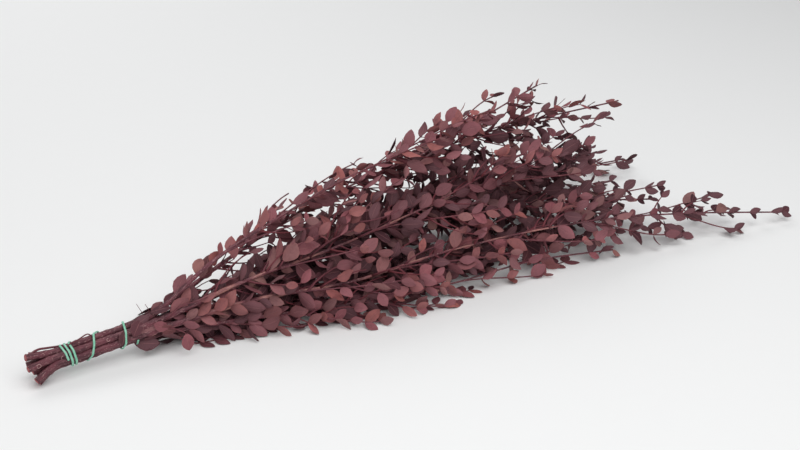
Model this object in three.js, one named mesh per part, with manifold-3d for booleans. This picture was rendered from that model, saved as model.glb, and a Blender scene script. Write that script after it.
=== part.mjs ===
// A bunch of dyed, dried eucalyptus lying on its side: eight leafy stems, held near their cut ends
// by one green elastic strand wound round them. Every stem is one piece that grew: a woody axis,
// side branches, twigs and opposite pairs of leaves.
//
// Lengths are in millimetres and +Z is up. The bunch is laid out from its cut ends: x runs along it
// towards the tips, y across it and z up from the surface that it lies on. Its frame has the origin
// below the middle of its box.
import * as THREE from "three";
import { mergeVertices } from "three/addons/utils/BufferGeometryUtils.js";
import Module from "manifold-3d";

const wasm = await Module();
wasm.setup();

// ---------------------------------------------------------------------------
// Driving dimensions
// ---------------------------------------------------------------------------

// Middle of the whole bunch's footprint, from the cut ends.
const BUNCH_MIDDLE = { x: 358, y: 21.6 };

// The tied handle: one stem in the middle of a ring of seven.
const HANDLE_HEIGHT = 16; // the handle's middle above the surface at the cut ends
const HANDLE_RISE = 0.09; // how much it climbs for each millimetre along
const RING_STEMS = 7;
const RING_RADIUS = [[2, 6.4], [26, 6.4], [84, 7.9]]; // [x, radius]; the stems leave after the last
const HANDLE_LENGTH = 84;

// Wood.
const STEM_SIDES = 5;
const BRANCH_SIDES = 3;
const TWIG_SIDES = 3;
const STEM_END_RADIUS = 1.0;
const TAPER = 2.5; // how soon wood thins beyond the handle: the power of the run that is left
const BRANCH_ROOT_SHARE = 0.62; // of the radius of the stem it grows from
const BRANCH_END_RADIUS = 0.9;
const TWIG_RADIUS = { root: 1.0, end: 0.8 };
const STEM_STEPS = 2; // between two points of a stem's path
const BRANCH_STEPS = 3;
const TWIG_STEPS = 2;
const BRANCH_HANDLE = 0.35; // how stiffly a branch leaves its stem, as a share of its length

// Twigs, which leave an axis in a spiral.
const TWIG_PITCH = 30;
const TWIG_LENGTH = { low: 42, high: 74 };
const TWIG_ANGLE = { root: 48, end: 27 }; // degrees from the axis
const TWIG_TURN = 137.5;
const TWIG_STRIDE = 2; // one twig in so many is in the solids
const SHORTEST_TWIG = 20;
const TWIG_DROOP = 0.08; // fall of a twig's tip, as a share of its length
const FOLIAGE_X = 100; // no twig or leaf starts nearer the cut ends

// Leaves, in opposite pairs that turn a quarter from one pair to the next.
const LEAF_PITCH = 13;
const LEAF_STRIDE = 3; // one pair in so many is in the solids
const LEAF_LENGTH = { low: 15.5, high: 25.5 };
const LEAF_WIDTH_SHARE = { low: 0.5, high: 0.66 };
const LEAF_ANGLE = { low: 28, high: 60 }; // degrees from the twig
const PRESSED = [[60, 0.3], [125, 1], [470, 1], [640, 0.62]]; // [x, share of its angle a leaf opens by]
const FREE = [[60, 0], [200, 1]]; // [x, how far the leaves face out of the bunch and not of the handle]
const FLATTER = [[430, 0], [640, 100]]; // [x, how strongly they face up, against the distances out]
const LEAF_TURN = 12; // the most that a leaf strays from its place round the twig, in degrees
const LEAF_ROLL = 32; // the most that a blade turns about its own length, in degrees
const LEAF_FACE_OUT = 0.9; // how strongly blades turn their faces out of the bunch
const LEAF_ARCH = 0.1; // the most that the blade's middle rises or dips, as a share of its length
const LEAF_THICKNESS = 0.7;
const LEAF_ROOT = 0.4; // how deep the blade starts in the wood
const FACET_SHARE = 0.6; // how far wood's flats are from its middle, about, as a share of its radius
const LEAF_TIP_SHARE = 0.64; // length of the last leaves of a shoot against the first
const FLAT_LEAF_HEIGHT = 1.3; // a leaf rooted lower than this lies flat on the surface
const LEAF_OUTLINE = { low: [0.24, 0.42], high: [0.6, 0.48] }; // shares of the length and the width

// Stems keep out of each other's way: a twig or a leaf stays nearer to its own wood than to any other.
const TWIG_MARGIN = 3;
const LEAF_MARGIN = 5.5;

// The bunch's outline: [x, front, back, top], the leaves reaching no further than these at each x.
// Its sections are half ellipses that stand on the surface.
const BUNCH_OUTLINE = [
  [90, -14, 30, 36],
  [150, -28, 48, 74],
  [200, -44, 66, 96],
  [250, -64, 82, 106],
  [300, -73, 96, 118],
  [360, -72, 108, 132],
  [430, -62, 120, 148],
  [500, -70, 128, 158],
  [560, -76, 132, 148],
  [620, -82, 132, 114],
  [680, -92, 118, 50],
  [740, -98, 90, 34],
];
const TWIG_INSET = 7; // a twig ends this far inside

// How open the foliage is, by how near it is to the outline and by x: tables of [place, share].
const OPEN_DEPTH = [[0.45, 0], [0.9, 1]];
const OPEN_X = [[230, 0.15], [470, 1]];
const OPEN_TWIGS = 0.55; // the share of the twigs that is missing where it is 1
const OPEN_LEAVES = 0.6; // and of the pairs of leaves
const TIP_PAIRS = 2; // the last pairs of each axis, which are never missing

// The strand.
const STRAND_RADIUS = 0.8;
const STRAND_SIDES = 4;
const STRAND_GAP = 0.1;
const STRAND_SEGMENTS = 2 * RING_STEMS; // a turn
// [degrees round the handle, x]: 90 is the top, 180 the front, 270 the bottom.
const STRAND_TURNS = [
  [200, 71],
  [270, 72],
  [450, 63],
  [630, 58.5],
  [810, 37.5],
  [990, 28.5],
  [1170, 16.5],
  [1350, 20.5],
  [1530, 13],
  [1710, 17.5],
  [1890, 9.5],
  [1980, 12.5],
];

// The stems. `slot` is the place in the ring, in degrees as above, and `radius` the stem's own at its
// cut end; `cut` gives where it is cut: x, how far from the handle's middle, and the degrees round it;
// `path` is the way that it takes once free, to its tip; `branches` gives, for each side branch, the x
// where it leaves and the place of its tip.
const STEMS = [
  {
    name: "stem_1_crest",
    slot: 90,
    radius: 2.65,
    cut: [-19, 10.5, 95],
    path: [
      [102, -1, 40], [124, -2, 56], [153, 0, 71], [222, 2, 96], [278, 10, 109], [386, 20, 121],
      [504, 36, 147],
    ],
    branches: [
      [140, [226, -14, 90]],
      [176, [300, 32, 111]],
      [222, [368, -2, 132]],
      [286, [430, 12, 142]],
      [320, [408, 52, 124]],
      [372, [470, 60, 135]],
    ],
  },
  {
    name: "stem_2_flank",
    slot: 90 + 360 / RING_STEMS,
    radius: 2.6,
    cut: [-20, 9, 155],
    path: [[168, -9, 46], [258, -12, 58], [352, -8, 72], [466, 6, 78], [564, 18, 72]],
    branches: [
      [176, [262, -42, 66]],
      [214, [330, -6, 104]],
      [282, [404, -46, 72]],
      [338, [470, -16, 108]],
      [392, [520, -34, 80]],
      [452, [564, 22, 102]],
    ],
  },
  {
    name: "stem_3_long",
    slot: 90 + (2 * 360) / RING_STEMS,
    radius: 2.65,
    cut: [-15, 12.5, 218],
    path: [[170, -17, 31], [258, -32, 32], [362, -42, 42], [508, -53, 39], [612, -66, 27], [724, -86, 10]],
    branches: [
      [186, [292, -60, 36]],
      [280, [412, -54, 30]],
      [380, [500, -66, 26]],
      [420, [560, -36, 46]],
      [484, [582, -72, 14]],
      [536, [664, -44, 26]],
      [590, [662, -84, 6]],
    ],
  },
  {
    name: "stem_4_front",
    slot: 90 + (3 * 360) / RING_STEMS,
    radius: 2.6,
    cut: [-12, 13, 246],
    path: [[170, -18, 15], [250, -36, 14], [350, -51, 14], [440, -50, 13], [526, -62, 8]],
    branches: [
      [130, [212, -36, 4]],
      [184, [270, -61, 3]],
      [250, [346, -68, 1]],
      [352, [446, -60, 2]],
      [400, [492, -38, 12]],
    ],
  },
  {
    name: "stem_5_under",
    slot: 90 + (4 * 360) / RING_STEMS,
    radius: 2.6,
    cut: [-10, 11.5, 292],
    path: [[170, 4, 12], [250, 4, 10], [350, 2, 10], [450, 0, 10], [560, 4, 8]],
    branches: [
      [150, [238, 38, 1]],
      [196, [296, -20, 3]],
      [250, [352, 44, 1]],
      [300, [404, -26, 3]],
      [372, [470, 42, 4]],
      [430, [524, -24, 5]],
    ],
  },
  {
    name: "stem_6_back",
    slot: 90 + (5 * 360) / RING_STEMS,
    radius: 2.65,
    cut: [-16, 10, 345],
    path: [[172, 27, 26], [260, 46, 32], [370, 66, 34], [520, 88, 28], [684, 110, 10]],
    branches: [
      [160, [246, 70, 20]],
      [226, [336, 98, 24]],
      [300, [420, 108, 1]],
      [388, [520, 124, 18]],
      [440, [568, 66, 34]],
      [508, [622, 132, 8]],
      [560, [664, 82, 22]],
    ],
  },
  {
    name: "stem_7_peak",
    slot: 90 + (6 * 360) / RING_STEMS,
    radius: 2.6,
    cut: [-14, 9.5, 42],
    path: [[170, 26, 52], [250, 40, 74], [346, 50, 90], [470, 56, 102], [624, 56, 104]],
    branches: [
      [168, [250, 64, 82]],
      [232, [344, 88, 82]],
      [300, [424, 98, 70]],
      [330, [474, 84, 64]],
      [352, [486, 92, 98]],
      [410, [534, 46, 116]],
      [452, [590, 94, 82]],
      [510, [626, 76, 80]],
    ],
  },
  {
    name: "stem_8_heart",
    slot: 0,
    radius: 3.4,
    cut: [-15, 3, 250],
    centre: true,
    path: [[170, 6, 36], [260, 12, 48], [370, 16, 52], [490, 2, 42], [604, -22, 28]],
    branches: [
      [186, [280, 22, 74]],
      [240, [350, 20, 24]],
      [290, [408, 46, 66]],
      [310, [474, 30, 84]],
      [352, [470, 40, 32]],
      [418, [548, -10, 30]],
      [440, [560, 44, 54]],
      [500, [604, -32, 46]],
    ],
  },
];

// ---------------------------------------------------------------------------
// Repeatable draws and small helpers
// ---------------------------------------------------------------------------

const UP = new THREE.Vector3(0, 0, 1);
const FORWARD = new THREE.Vector3(1, 0, 0);
const radians = THREE.MathUtils.degToRad;
const vector = ([x, y, z]) => new THREE.Vector3(x, y, z);

/** A number from 0 to 1 that depends only on the whole numbers given. */
function draw(...keys) {
  let h = 0x2545f491;
  for (const key of keys) {
    h = Math.imul(h ^ (key + 1), 0x85ebca6b);
    h = Math.imul(h ^ (h >>> 13), 0xc2b2ae35);
    h ^= h >>> 16;
  }
  return (h >>> 0) / 2 ** 32;
}

const between = ({ low, high }, ...keys) => low + (high - low) * draw(...keys);

/** The entry of a table at a given place, straight between the rows on either side of it. */
function stepped(rows, place, column) {
  let i = 1;
  while (i < rows.length - 1 && rows[i][0] < place) i++;
  const [from, to] = [rows[i - 1], rows[i]];
  const share = THREE.MathUtils.clamp((place - from[0]) / (to[0] - from[0]), 0, 1);
  return THREE.MathUtils.lerp(from[column], to[column], share);
}

/** A point and the three directions at it: along the axis, up and to the side. */
function frameAlong(point, along, reference = UP) {
  const up = reference.clone().addScaledVector(along, -along.dot(reference)).normalize();
  return { point, along, up, side: along.clone().cross(up) };
}

/** The direction at an angle from the axis, and at a turn about it from its own up. */
function aside(frame, angle, turn) {
  const out = frame.up.clone().multiplyScalar(Math.cos(turn)).addScaledVector(frame.side, Math.sin(turn));
  return frame.along.clone().multiplyScalar(Math.cos(angle)).addScaledVector(out, Math.sin(angle));
}

/** A woody axis: the points that it passes through, and its radius at the root and at the end. */
class Axis {
  constructor(points, rootRadius, endRadius, reference = UP) {
    this.points = points;
    this.reference = reference;
    this.rootRadius = rootRadius;
    this.endRadius = endRadius;
    this.runs = [0];
    points.slice(1).forEach((point, i) => this.runs.push(this.runs[i] + point.distanceTo(points[i])));
    this.length = this.runs.at(-1);
    this.held = 0;
  }

  /** The radius holds as far as the axis is held, and then thins. */
  radiusAt(run) {
    const left = Math.min(1, (this.length - run) / (this.length - this.held));
    return this.endRadius + (this.rootRadius - this.endRadius) * left ** TAPER;
  }

  /** The frame at a distance along the axis. */
  at(run) {
    let i = 1;
    while (i < this.points.length - 1 && this.runs[i] < run) i++;
    const [from, to] = [this.points[i - 1], this.points[i]];
    const share = (run - this.runs[i - 1]) / (this.runs[i] - this.runs[i - 1]);
    return frameAlong(from.clone().lerp(to, share), to.clone().sub(from).normalize());
  }

  /** The distance along the axis where it passes a given x. */
  runAtX(x) {
    let i = 1;
    while (i < this.points.length - 1 && this.points[i].x < x) i++;
    const [from, to] = [this.points[i - 1], this.points[i]];
    return THREE.MathUtils.lerp(this.runs[i - 1], this.runs[i], (x - from.x) / (to.x - from.x));
  }

  /** The shortest distance from a point to the axis. */
  distanceTo(point) {
    let nearest = Infinity;
    const closest = new THREE.Vector3();
    for (let i = 1; i < this.points.length; i++) {
      new THREE.Line3(this.points[i - 1], this.points[i]).closestPointToPoint(point, true, closest);
      nearest = Math.min(nearest, closest.distanceTo(point));
    }
    return nearest;
  }
}

// ---------------------------------------------------------------------------
// Solids
// ---------------------------------------------------------------------------

/** The solid of a closed geometry. */
function solidOf(geometry) {
  geometry.deleteAttribute("normal");
  geometry.deleteAttribute("uv");
  const merged = mergeVertices(geometry, 1e-4);
  const vertProperties = new Float32Array(merged.attributes.position.array);
  const triVerts = new Uint32Array(merged.index.array);
  return new wasm.Manifold(new wasm.Mesh({ numProp: 3, vertProperties, triVerts }));
}

/** The largest body of a solid, without loose scraps and sealed hollows. */
function mainBody(solid) {
  const volume = (body) => body.volume();
  return solid.decompose().reduce((largest, body) => (volume(body) > volume(largest) ? body : largest));
}

/** The mesh of a solid, named as its node. */
function meshOf(name, solid, material) {
  const { vertProperties, triVerts } = solid.getMesh();
  const geometry = new THREE.BufferGeometry();
  geometry.setAttribute("position", new THREE.BufferAttribute(vertProperties, 3));
  geometry.setIndex(new THREE.BufferAttribute(triVerts, 1));
  const mesh = new THREE.Mesh(geometry, material);
  mesh.name = name;
  return mesh;
}

/** A tapering rod: a straight prism whose sections are carried to the points of an axis. */
function rod(axis, sides) {
  const steps = axis.points.length - 1;
  const section = new THREE.Shape(
    Array.from({ length: sides }, (_, i) => {
      const turn = (2 * Math.PI * (i + 0.5)) / sides;
      return new THREE.Vector2(Math.cos(turn), Math.sin(turn));
    }),
  );
  const geometry = new THREE.ExtrudeGeometry(section, { depth: steps, steps, bevelEnabled: false });
  const rings = axis.points.map((point, i) => {
    const before = axis.points[Math.max(i - 1, 0)];
    const after = axis.points[Math.min(i + 1, steps)];
    const along = after.clone().sub(before).normalize();
    return { ...frameAlong(point, along, axis.reference), radius: axis.radiusAt(axis.runs[i]) };
  });
  const { position } = geometry.attributes;
  const place = new THREE.Vector3();
  for (let i = 0; i < position.count; i++) {
    const ring = rings[Math.round(position.getZ(i))];
    place.copy(ring.point);
    place.addScaledVector(ring.up, position.getX(i) * ring.radius);
    place.addScaledVector(ring.side, position.getY(i) * ring.radius);
    position.setXYZ(i, place.x, place.y, place.z);
  }
  return solidOf(geometry);
}

/** The six corners of a leaf's blade: root, two on one edge, tip, and two on the other edge. */
function leafPoints(leaf) {
  const { root, along, face, length, width, flat } = leaf;
  const across = along.clone().cross(face);
  const at = (share, aside, lift) =>
    root
      .clone()
      .addScaledVector(along, share * length)
      .addScaledVector(across, aside * width)
      .addScaledVector(face, lift);
  const arch = flat ? 0 : LEAF_ARCH * length * leaf.curl;
  const [lowShare, lowHalf] = LEAF_OUTLINE.low;
  const [highShare, highHalf] = LEAF_OUTLINE.high;
  return [
    at(0, 0, 0),
    at(lowShare, -lowHalf, arch),
    at(highShare, -highHalf, arch),
    at(1, 0, 0),
    at(highShare, highHalf, arch),
    at(lowShare, lowHalf, arch),
  ];
}

/** A leaf's blade: its corners on both faces, the faces split alike across the width, and a thin rim. */
function blade(leaf) {
  const half = leaf.face.clone().multiplyScalar(LEAF_THICKNESS / 2);
  const middle = leafPoints(leaf);
  const corners = [...middle.map((p) => p.clone().add(half)), ...middle.map((p) => p.clone().sub(half))];
  const under = middle.length;
  const triangles = [];
  for (const [a, b, c] of [[0, 5, 1], [1, 5, 4], [1, 4, 2], [2, 4, 3]]) {
    triangles.push(a, b, c, under + a, under + c, under + b);
  }
  for (let i = 0; i < under; i++) {
    const next = (i + 1) % under;
    triangles.push(i, next, under + i, next, under + next, under + i);
  }
  const geometry = new THREE.BufferGeometry();
  geometry.setAttribute("position", new THREE.Float32BufferAttribute(corners.flatMap((p) => p.toArray()), 3));
  geometry.setIndex(triangles);
  return solidOf(geometry);
}

// ---------------------------------------------------------------------------
// Growth
// ---------------------------------------------------------------------------

/** The middle of the handle at a given x. */
const handleAt = (x) => new THREE.Vector3(x, 0, HANDLE_HEIGHT + HANDLE_RISE * x);

/** A place in the handle: out from its middle at a turn, 90 degrees being up and 180 the front. */
function inHandle(x, out, degrees) {
  const turn = radians(degrees);
  return handleAt(x).add(new THREE.Vector3(0, out * Math.cos(turn), out * Math.sin(turn)));
}

/** The main axis of a stem: from its cut end, through the handle and along its free path. */
function stemAxis({ slot, radius, cut, centre, path }) {
  const through = [
    inHandle(...cut),
    ...RING_RADIUS.map(([x, out]) => inHandle(x, centre ? 0 : out, slot)),
    ...path.map(vector),
  ];
  const curve = new THREE.CatmullRomCurve3(through);
  const axis = new Axis(curve.getPoints(STEM_STEPS * (through.length - 1)), radius, STEM_END_RADIUS);
  axis.held = axis.runAtX(HANDLE_LENGTH);
  return axis;
}

/** A side branch: it leaves along its stem and bends away to its tip. */
function branchAxis(stem, [rootX, tipPlace]) {
  const run = stem.runAtX(rootX);
  const root = stem.at(run);
  const tip = vector(tipPlace);
  const reach = tip.clone().sub(root.point);
  const handle = BRANCH_HANDLE * reach.length();
  const arrival = reach.normalize().add(FORWARD).normalize();
  const curve = new THREE.CubicBezierCurve3(
    root.point,
    root.point.clone().addScaledVector(root.along, handle),
    tip.clone().addScaledVector(arrival, -handle),
    tip,
  );
  return new Axis(curve.getPoints(BRANCH_STEPS), BRANCH_ROOT_SHARE * stem.radiusAt(run), BRANCH_END_RADIUS);
}

/** A twig: it leaves an axis at an angle and bends forward, drooping, and never below the surface. */
function twigAxis(root, keys) {
  const length = between(TWIG_LENGTH, ...keys, 1);
  const turn = radians(TWIG_TURN) * keys.at(-1) + 2 * Math.PI * draw(...keys.slice(0, -1), 2);
  const start = aside(root, radians(TWIG_ANGLE.root), turn);
  const end = aside(root, radians(TWIG_ANGLE.end), turn);
  const curve = new THREE.QuadraticBezierCurve3(
    root.point,
    root.point.clone().addScaledVector(start, length / 2),
    root.point.clone().addScaledVector(end, length).addScaledVector(UP, -TWIG_DROOP * length),
  );
  const points = curve.getPoints(TWIG_STEPS);
  for (const point of points) point.z = Math.max(point.z, TWIG_RADIUS.root);
  return new Axis(points, TWIG_RADIUS.root, TWIG_RADIUS.end);
}

/** The way out of the handle at a place, and further on the way out of the bunch's foliage. */
function outward({ x, y, z }) {
  const free = stepped(FREE, x, 1);
  const rise = Math.max(z - handleAt(x).z * (1 - free / 2), 20 * free);
  return new THREE.Vector3(0, y - BUNCH_MIDDLE.y * free, rise + stepped(FLATTER, x, 1)).normalize();
}

/** One leaf of a pair on an axis. */
function leafOn(axis, run, keys) {
  const root = axis.at(run);
  const [pair, side] = keys.slice(-2);
  const flat = root.point.z < FLAT_LEAF_HEIGHT;
  const start = flat ? 0 : 2 * Math.PI * draw(...keys.slice(0, -2), 7) + radians(90) * (pair - 1);
  const turn = start + radians(90) + Math.PI * side + radians(LEAF_TURN) * (2 * draw(...keys, 1) - 1);
  const angle = radians(between(LEAF_ANGLE, ...keys, 2)) * stepped(PRESSED, root.point.x, 1);
  const along = aside(root, angle, turn);
  const age = THREE.MathUtils.lerp(1, LEAF_TIP_SHARE, run / axis.length);
  const length = between(LEAF_LENGTH, ...keys, 3) * age;
  const width = length * between(LEAF_WIDTH_SHARE, ...keys, 4);
  if (flat) along.setZ(0).normalize();

  const face = root.along.clone().multiplyScalar(Math.sin(angle)).addScaledVector(along, -Math.cos(angle));
  const out = outward(root.point);
  face.addScaledVector(out, face.dot(out) < 0 ? -LEAF_FACE_OUT : LEAF_FACE_OUT);
  face.applyAxisAngle(along, radians(LEAF_ROLL) * (2 * draw(...keys, 5) - 1));
  if (flat) face.copy(UP);
  face.addScaledVector(along, -face.dot(along)).normalize();
  const sunk = Math.max(FACET_SHARE * axis.radiusAt(run) - LEAF_ROOT, 0) / Math.sin(angle);
  const rootPoint = root.point.clone().addScaledVector(along, sunk);
  if (flat) rootPoint.z = LEAF_THICKNESS / 2;
  return { root: rootPoint, along, face, length, width, flat, curl: 2 * draw(...keys, 6) - 1 };
}

/** Raises a leaf that would reach below the surface until its lowest corner touches it. */
function raised(leaf) {
  if (leaf.flat) return leaf;
  for (let tries = 0; tries < 12; tries++) {
    const lowest = Math.min(...leafPoints(leaf).map((p) => p.z)) - LEAF_THICKNESS / 2;
    if (lowest >= 0) return leaf;
    leaf.along.addScaledVector(UP, 0.02 - lowest / leaf.length).normalize();
    leaf.face.addScaledVector(UP, 0.25);
    leaf.face.addScaledVector(leaf.along, -leaf.face.dot(leaf.along)).normalize();
  }
  return null;
}

/** How far out a point is in the bunch, from 0 at its middle to 1 at this far inside its outline. */
function depthAt({ x, y, z }, inset) {
  const [front, back, top] = [1, 2, 3].map((column) => stepped(BUNCH_OUTLINE, x, column));
  const halfWidth = (back - front) / 2 - inset;
  return Math.hypot((y - (front + back) / 2) / halfWidth, z / (top - inset));
}

/** How open the foliage is at a place: 0 in its heart and 1 at the outline near the tips. */
const openness = (place) => stepped(OPEN_DEPTH, depthAt(place, 0), 1) * stepped(OPEN_X, place.x, 1);

/** Is each of these points nearer to its own stem's wood than to any other stem's, by a margin? */
function ownGround(points, own, skeletons, margin) {
  return points.every((point) => {
    const nearestOwn = Math.min(...skeletons[own].map((axis) => axis.distanceTo(point)));
    return skeletons.every(
      (axes, i) => i === own || axes.every((axis) => axis.distanceTo(point) > nearestOwn + margin),
    );
  });
}

/** The part of a twig that stays on its own ground, or null if that is too short. */
function trimmed(twig, own, skeletons) {
  const parts = 8;
  for (let kept = parts; kept > 0; kept--) {
    const runs = Array.from({ length: kept }, (_, i) => (twig.length * (i + 1)) / parts);
    if ((twig.length * kept) / parts < SHORTEST_TWIG) return null;
    const places = runs.map((run) => twig.at(run).point);
    if (!places.every((place) => depthAt(place, TWIG_INSET) < 1)) continue;
    if (!ownGround(places, own, skeletons, TWIG_MARGIN)) continue;
    if (kept === parts) return twig;
    const shorter = [0, runs.at(-1) / 2, runs.at(-1)].map((run) => twig.at(run).point);
    return new Axis(shorter, TWIG_RADIUS.root, TWIG_RADIUS.end);
  }
  return null;
}

/** The leaves of one axis, from a distance along it to its end, that stay on their own ground. */
function leavesOn(axis, from, own, skeletons, keys) {
  const leaves = [];
  const pairs = Math.floor((axis.length - from) / LEAF_PITCH);
  for (let back = 0; back <= pairs; back += LEAF_STRIDE) {
    const run = axis.length - 1 - back * LEAF_PITCH;
    if (run < from) break;
    const missing = draw(...keys, back, 9) < OPEN_LEAVES * openness(axis.at(run).point);
    if (missing && back >= TIP_PAIRS) continue;
    for (const side of [0, 1]) {
      const leaf = raised(leafOn(axis, run, [...keys, back, side]));
      if (!leaf) continue;
      const places = leafPoints(leaf).slice(1);
      if (!places.every((place) => depthAt(place, 0) < 1)) continue;
      if (ownGround(places, own, skeletons, LEAF_MARGIN)) leaves.push(leaf);
    }
  }
  return leaves;
}

/** The twigs of one axis that are in the solids, from a distance along it. */
function twigsOn(axis, from, own, skeletons, keys) {
  const twigs = [];
  const count = Math.floor((axis.length - from - TWIG_PITCH / 2) / TWIG_PITCH);
  for (let i = 0; i < count; i += TWIG_STRIDE) {
    const grown = twigAxis(axis.at(from + i * TWIG_PITCH), [...keys, i]);
    if (draw(...keys, i, 8) < OPEN_TWIGS * openness(grown.points.at(-1))) continue;
    const twig = trimmed(grown, own, skeletons);
    if (twig) twigs.push({ axis: twig, keys: [...keys, i] });
  }
  return twigs;
}

/** Do two solids cross? */
function cross(one, other) {
  const [a, b] = [one.boundingBox(), other.boundingBox()];
  const apart = [0, 1, 2].some((i) => a.min[i] > b.max[i] || b.min[i] > a.max[i]);
  return !apart && one.intersect(other).numTri() > 0;
}

/** A leafy stem as one solid: its wood and leaves, fused, without those twigs and leaves that would cross. */
function leafyStem(index, axes, skeletons) {
  const limbs = axes.map((axis, order) => rod(axis, order === 0 ? STEM_SIDES : BRANCH_SIDES));
  const wood = [...limbs];
  const foliage = [];
  const from = (axis, order) => (order === 0 ? axis.runAtX(FOLIAGE_X) : LEAF_PITCH);
  const addLeaves = (axis, start, limb, keys) => {
    const others = wood.filter((other) => other !== limb);
    for (const leaf of leavesOn(axis, start, index, skeletons, keys).map(blade)) {
      if (![...others, ...foliage].some((other) => cross(leaf, other))) foliage.push(leaf);
    }
  };
  axes.forEach((axis, order) => addLeaves(axis, from(axis, order), limbs[order], [index, order]));
  axes.forEach((axis, order) => {
    for (const twig of twigsOn(axis, from(axis, order), index, skeletons, [index, order])) {
      const limb = rod(twig.axis, TWIG_SIDES);
      const others = wood.filter((other) => other !== limbs[order]);
      if ([...others, ...foliage].some((other) => cross(limb, other))) continue;
      const before = foliage.length;
      addLeaves(twig.axis, LEAF_PITCH / 2, limb, twig.keys);
      if (foliage.length > before) wood.push(limb);
    }
  });
  return mainBody([...wood, ...foliage].reduce((whole, piece) => whole.add(piece)));
}

// ---------------------------------------------------------------------------
// The strand
// ---------------------------------------------------------------------------

/** Where the strand passes at a turn: straight from corner to corner, each side lying over one stem. */
function strandAt(degrees) {
  const x = stepped(STRAND_TURNS, degrees, 1);
  const thickest = Math.max(...STEMS.filter((stem) => !stem.centre).map((stem) => stem.radius));
  const clear = stepped(RING_RADIUS, x, 1) + thickest + STRAND_GAP + STRAND_RADIUS;
  return inHandle(x, clear / Math.cos(Math.PI / STRAND_SEGMENTS), degrees);
}

/** The green strand: a thin rod wound round the handle, every second side lying over a stem. */
function strand() {
  const turn = 360 / STRAND_SEGMENTS;
  const [[first], [last]] = [STRAND_TURNS[0], STRAND_TURNS.at(-1)];
  const points = [];
  for (let degrees = 90 - turn / 2; degrees <= last; degrees += turn) {
    if (degrees >= first) points.push(strandAt(degrees));
  }
  return new Axis(points, STRAND_RADIUS, STRAND_RADIUS, FORWARD);
}

// ---------------------------------------------------------------------------
// Assembly
// ---------------------------------------------------------------------------

const dyedLeaf = new THREE.MeshStandardMaterial({ color: 0x7b4546, roughness: 0.8, metalness: 0 });
const greenElastic = new THREE.MeshStandardMaterial({ color: 0x7fc9a0, roughness: 0.45, metalness: 0 });

const skeletons = STEMS.map((stem) => {
  const main = stemAxis(stem);
  return [main, ...stem.branches.map((branch) => branchAxis(main, branch))];
});

const bunch = new THREE.Group();
STEMS.forEach((stem, index) => {
  bunch.add(meshOf(stem.name, leafyStem(index, skeletons[index], skeletons), dyedLeaf));
});
bunch.add(meshOf("tie_strand", rod(strand(), STRAND_SIDES), greenElastic));
bunch.position.set(-BUNCH_MIDDLE.x, -BUNCH_MIDDLE.y, 0);

const part = new THREE.Group();
part.add(bunch);

export default part;
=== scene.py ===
"""A bunch of dyed, dried eucalyptus lying on its side, held by a green elastic strand.

Eight leafy stems grow by one seeded rule: a woody axis, side branches, twigs, and opposite pairs of
leaves that turn a quarter from one pair to the next. The solids of the frame hold every second twig
of the rule's first row and one pair of leaves in three, so each stem's finer pieces here stand where
its node is. Lengths are in millimetres and are made metres as a mesh is built. The bunch is laid out
from its cut ends: x runs along it, y across it and z up.
"""
import math
from collections import namedtuple

import bpy
import numpy as np
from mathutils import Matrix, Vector


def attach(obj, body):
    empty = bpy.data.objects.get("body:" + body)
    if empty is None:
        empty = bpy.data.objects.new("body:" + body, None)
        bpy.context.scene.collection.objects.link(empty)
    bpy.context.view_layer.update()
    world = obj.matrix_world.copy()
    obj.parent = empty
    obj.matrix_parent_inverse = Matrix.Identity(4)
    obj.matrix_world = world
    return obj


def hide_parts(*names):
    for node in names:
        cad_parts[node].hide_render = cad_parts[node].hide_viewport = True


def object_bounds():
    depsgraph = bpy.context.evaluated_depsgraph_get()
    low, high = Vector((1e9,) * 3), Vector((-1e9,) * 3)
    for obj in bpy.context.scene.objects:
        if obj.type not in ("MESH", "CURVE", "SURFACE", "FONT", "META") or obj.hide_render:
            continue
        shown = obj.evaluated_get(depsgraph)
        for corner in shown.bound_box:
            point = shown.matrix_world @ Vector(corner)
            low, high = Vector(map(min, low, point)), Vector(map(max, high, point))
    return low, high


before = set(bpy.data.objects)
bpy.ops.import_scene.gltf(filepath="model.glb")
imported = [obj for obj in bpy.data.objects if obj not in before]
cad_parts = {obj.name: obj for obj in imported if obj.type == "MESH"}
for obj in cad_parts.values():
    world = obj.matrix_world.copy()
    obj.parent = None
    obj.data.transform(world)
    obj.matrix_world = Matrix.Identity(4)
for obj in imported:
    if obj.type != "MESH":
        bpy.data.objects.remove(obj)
cad_box = [list(corner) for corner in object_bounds()]

MM = 0.001
UP = np.array([0.0, 0.0, 1.0])
FORWARD = np.array([1.0, 0.0, 0.0])
ACROSS = np.array([0.0, 1.0, 0.0])

# ---------------------------------------------------------------------------
# Driving dimensions, as in the solids
# ---------------------------------------------------------------------------

BUNCH_MIDDLE = np.array([358.0, 21.6, 0.0])  # the frame's origin, from the cut ends

# The tied handle: one stem in the middle of a ring.
HANDLE_HEIGHT = 16  # its middle above the surface at the cut ends
HANDLE_RISE = 0.09  # how much it climbs for each millimetre along
HANDLE_LENGTH = 84
RING_STEMS = 7
RING_RADIUS = [[2, 6.4], [26, 6.4], [84, 7.9]]  # [x, radius]
SLOT = 360 / RING_STEMS

# Side branches.
BRANCH_ROOT_SHARE = 0.62  # of the radius of the stem that it grows from
BRANCH_HANDLE = 0.35  # how stiffly it leaves its stem, as a share of its length

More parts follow.
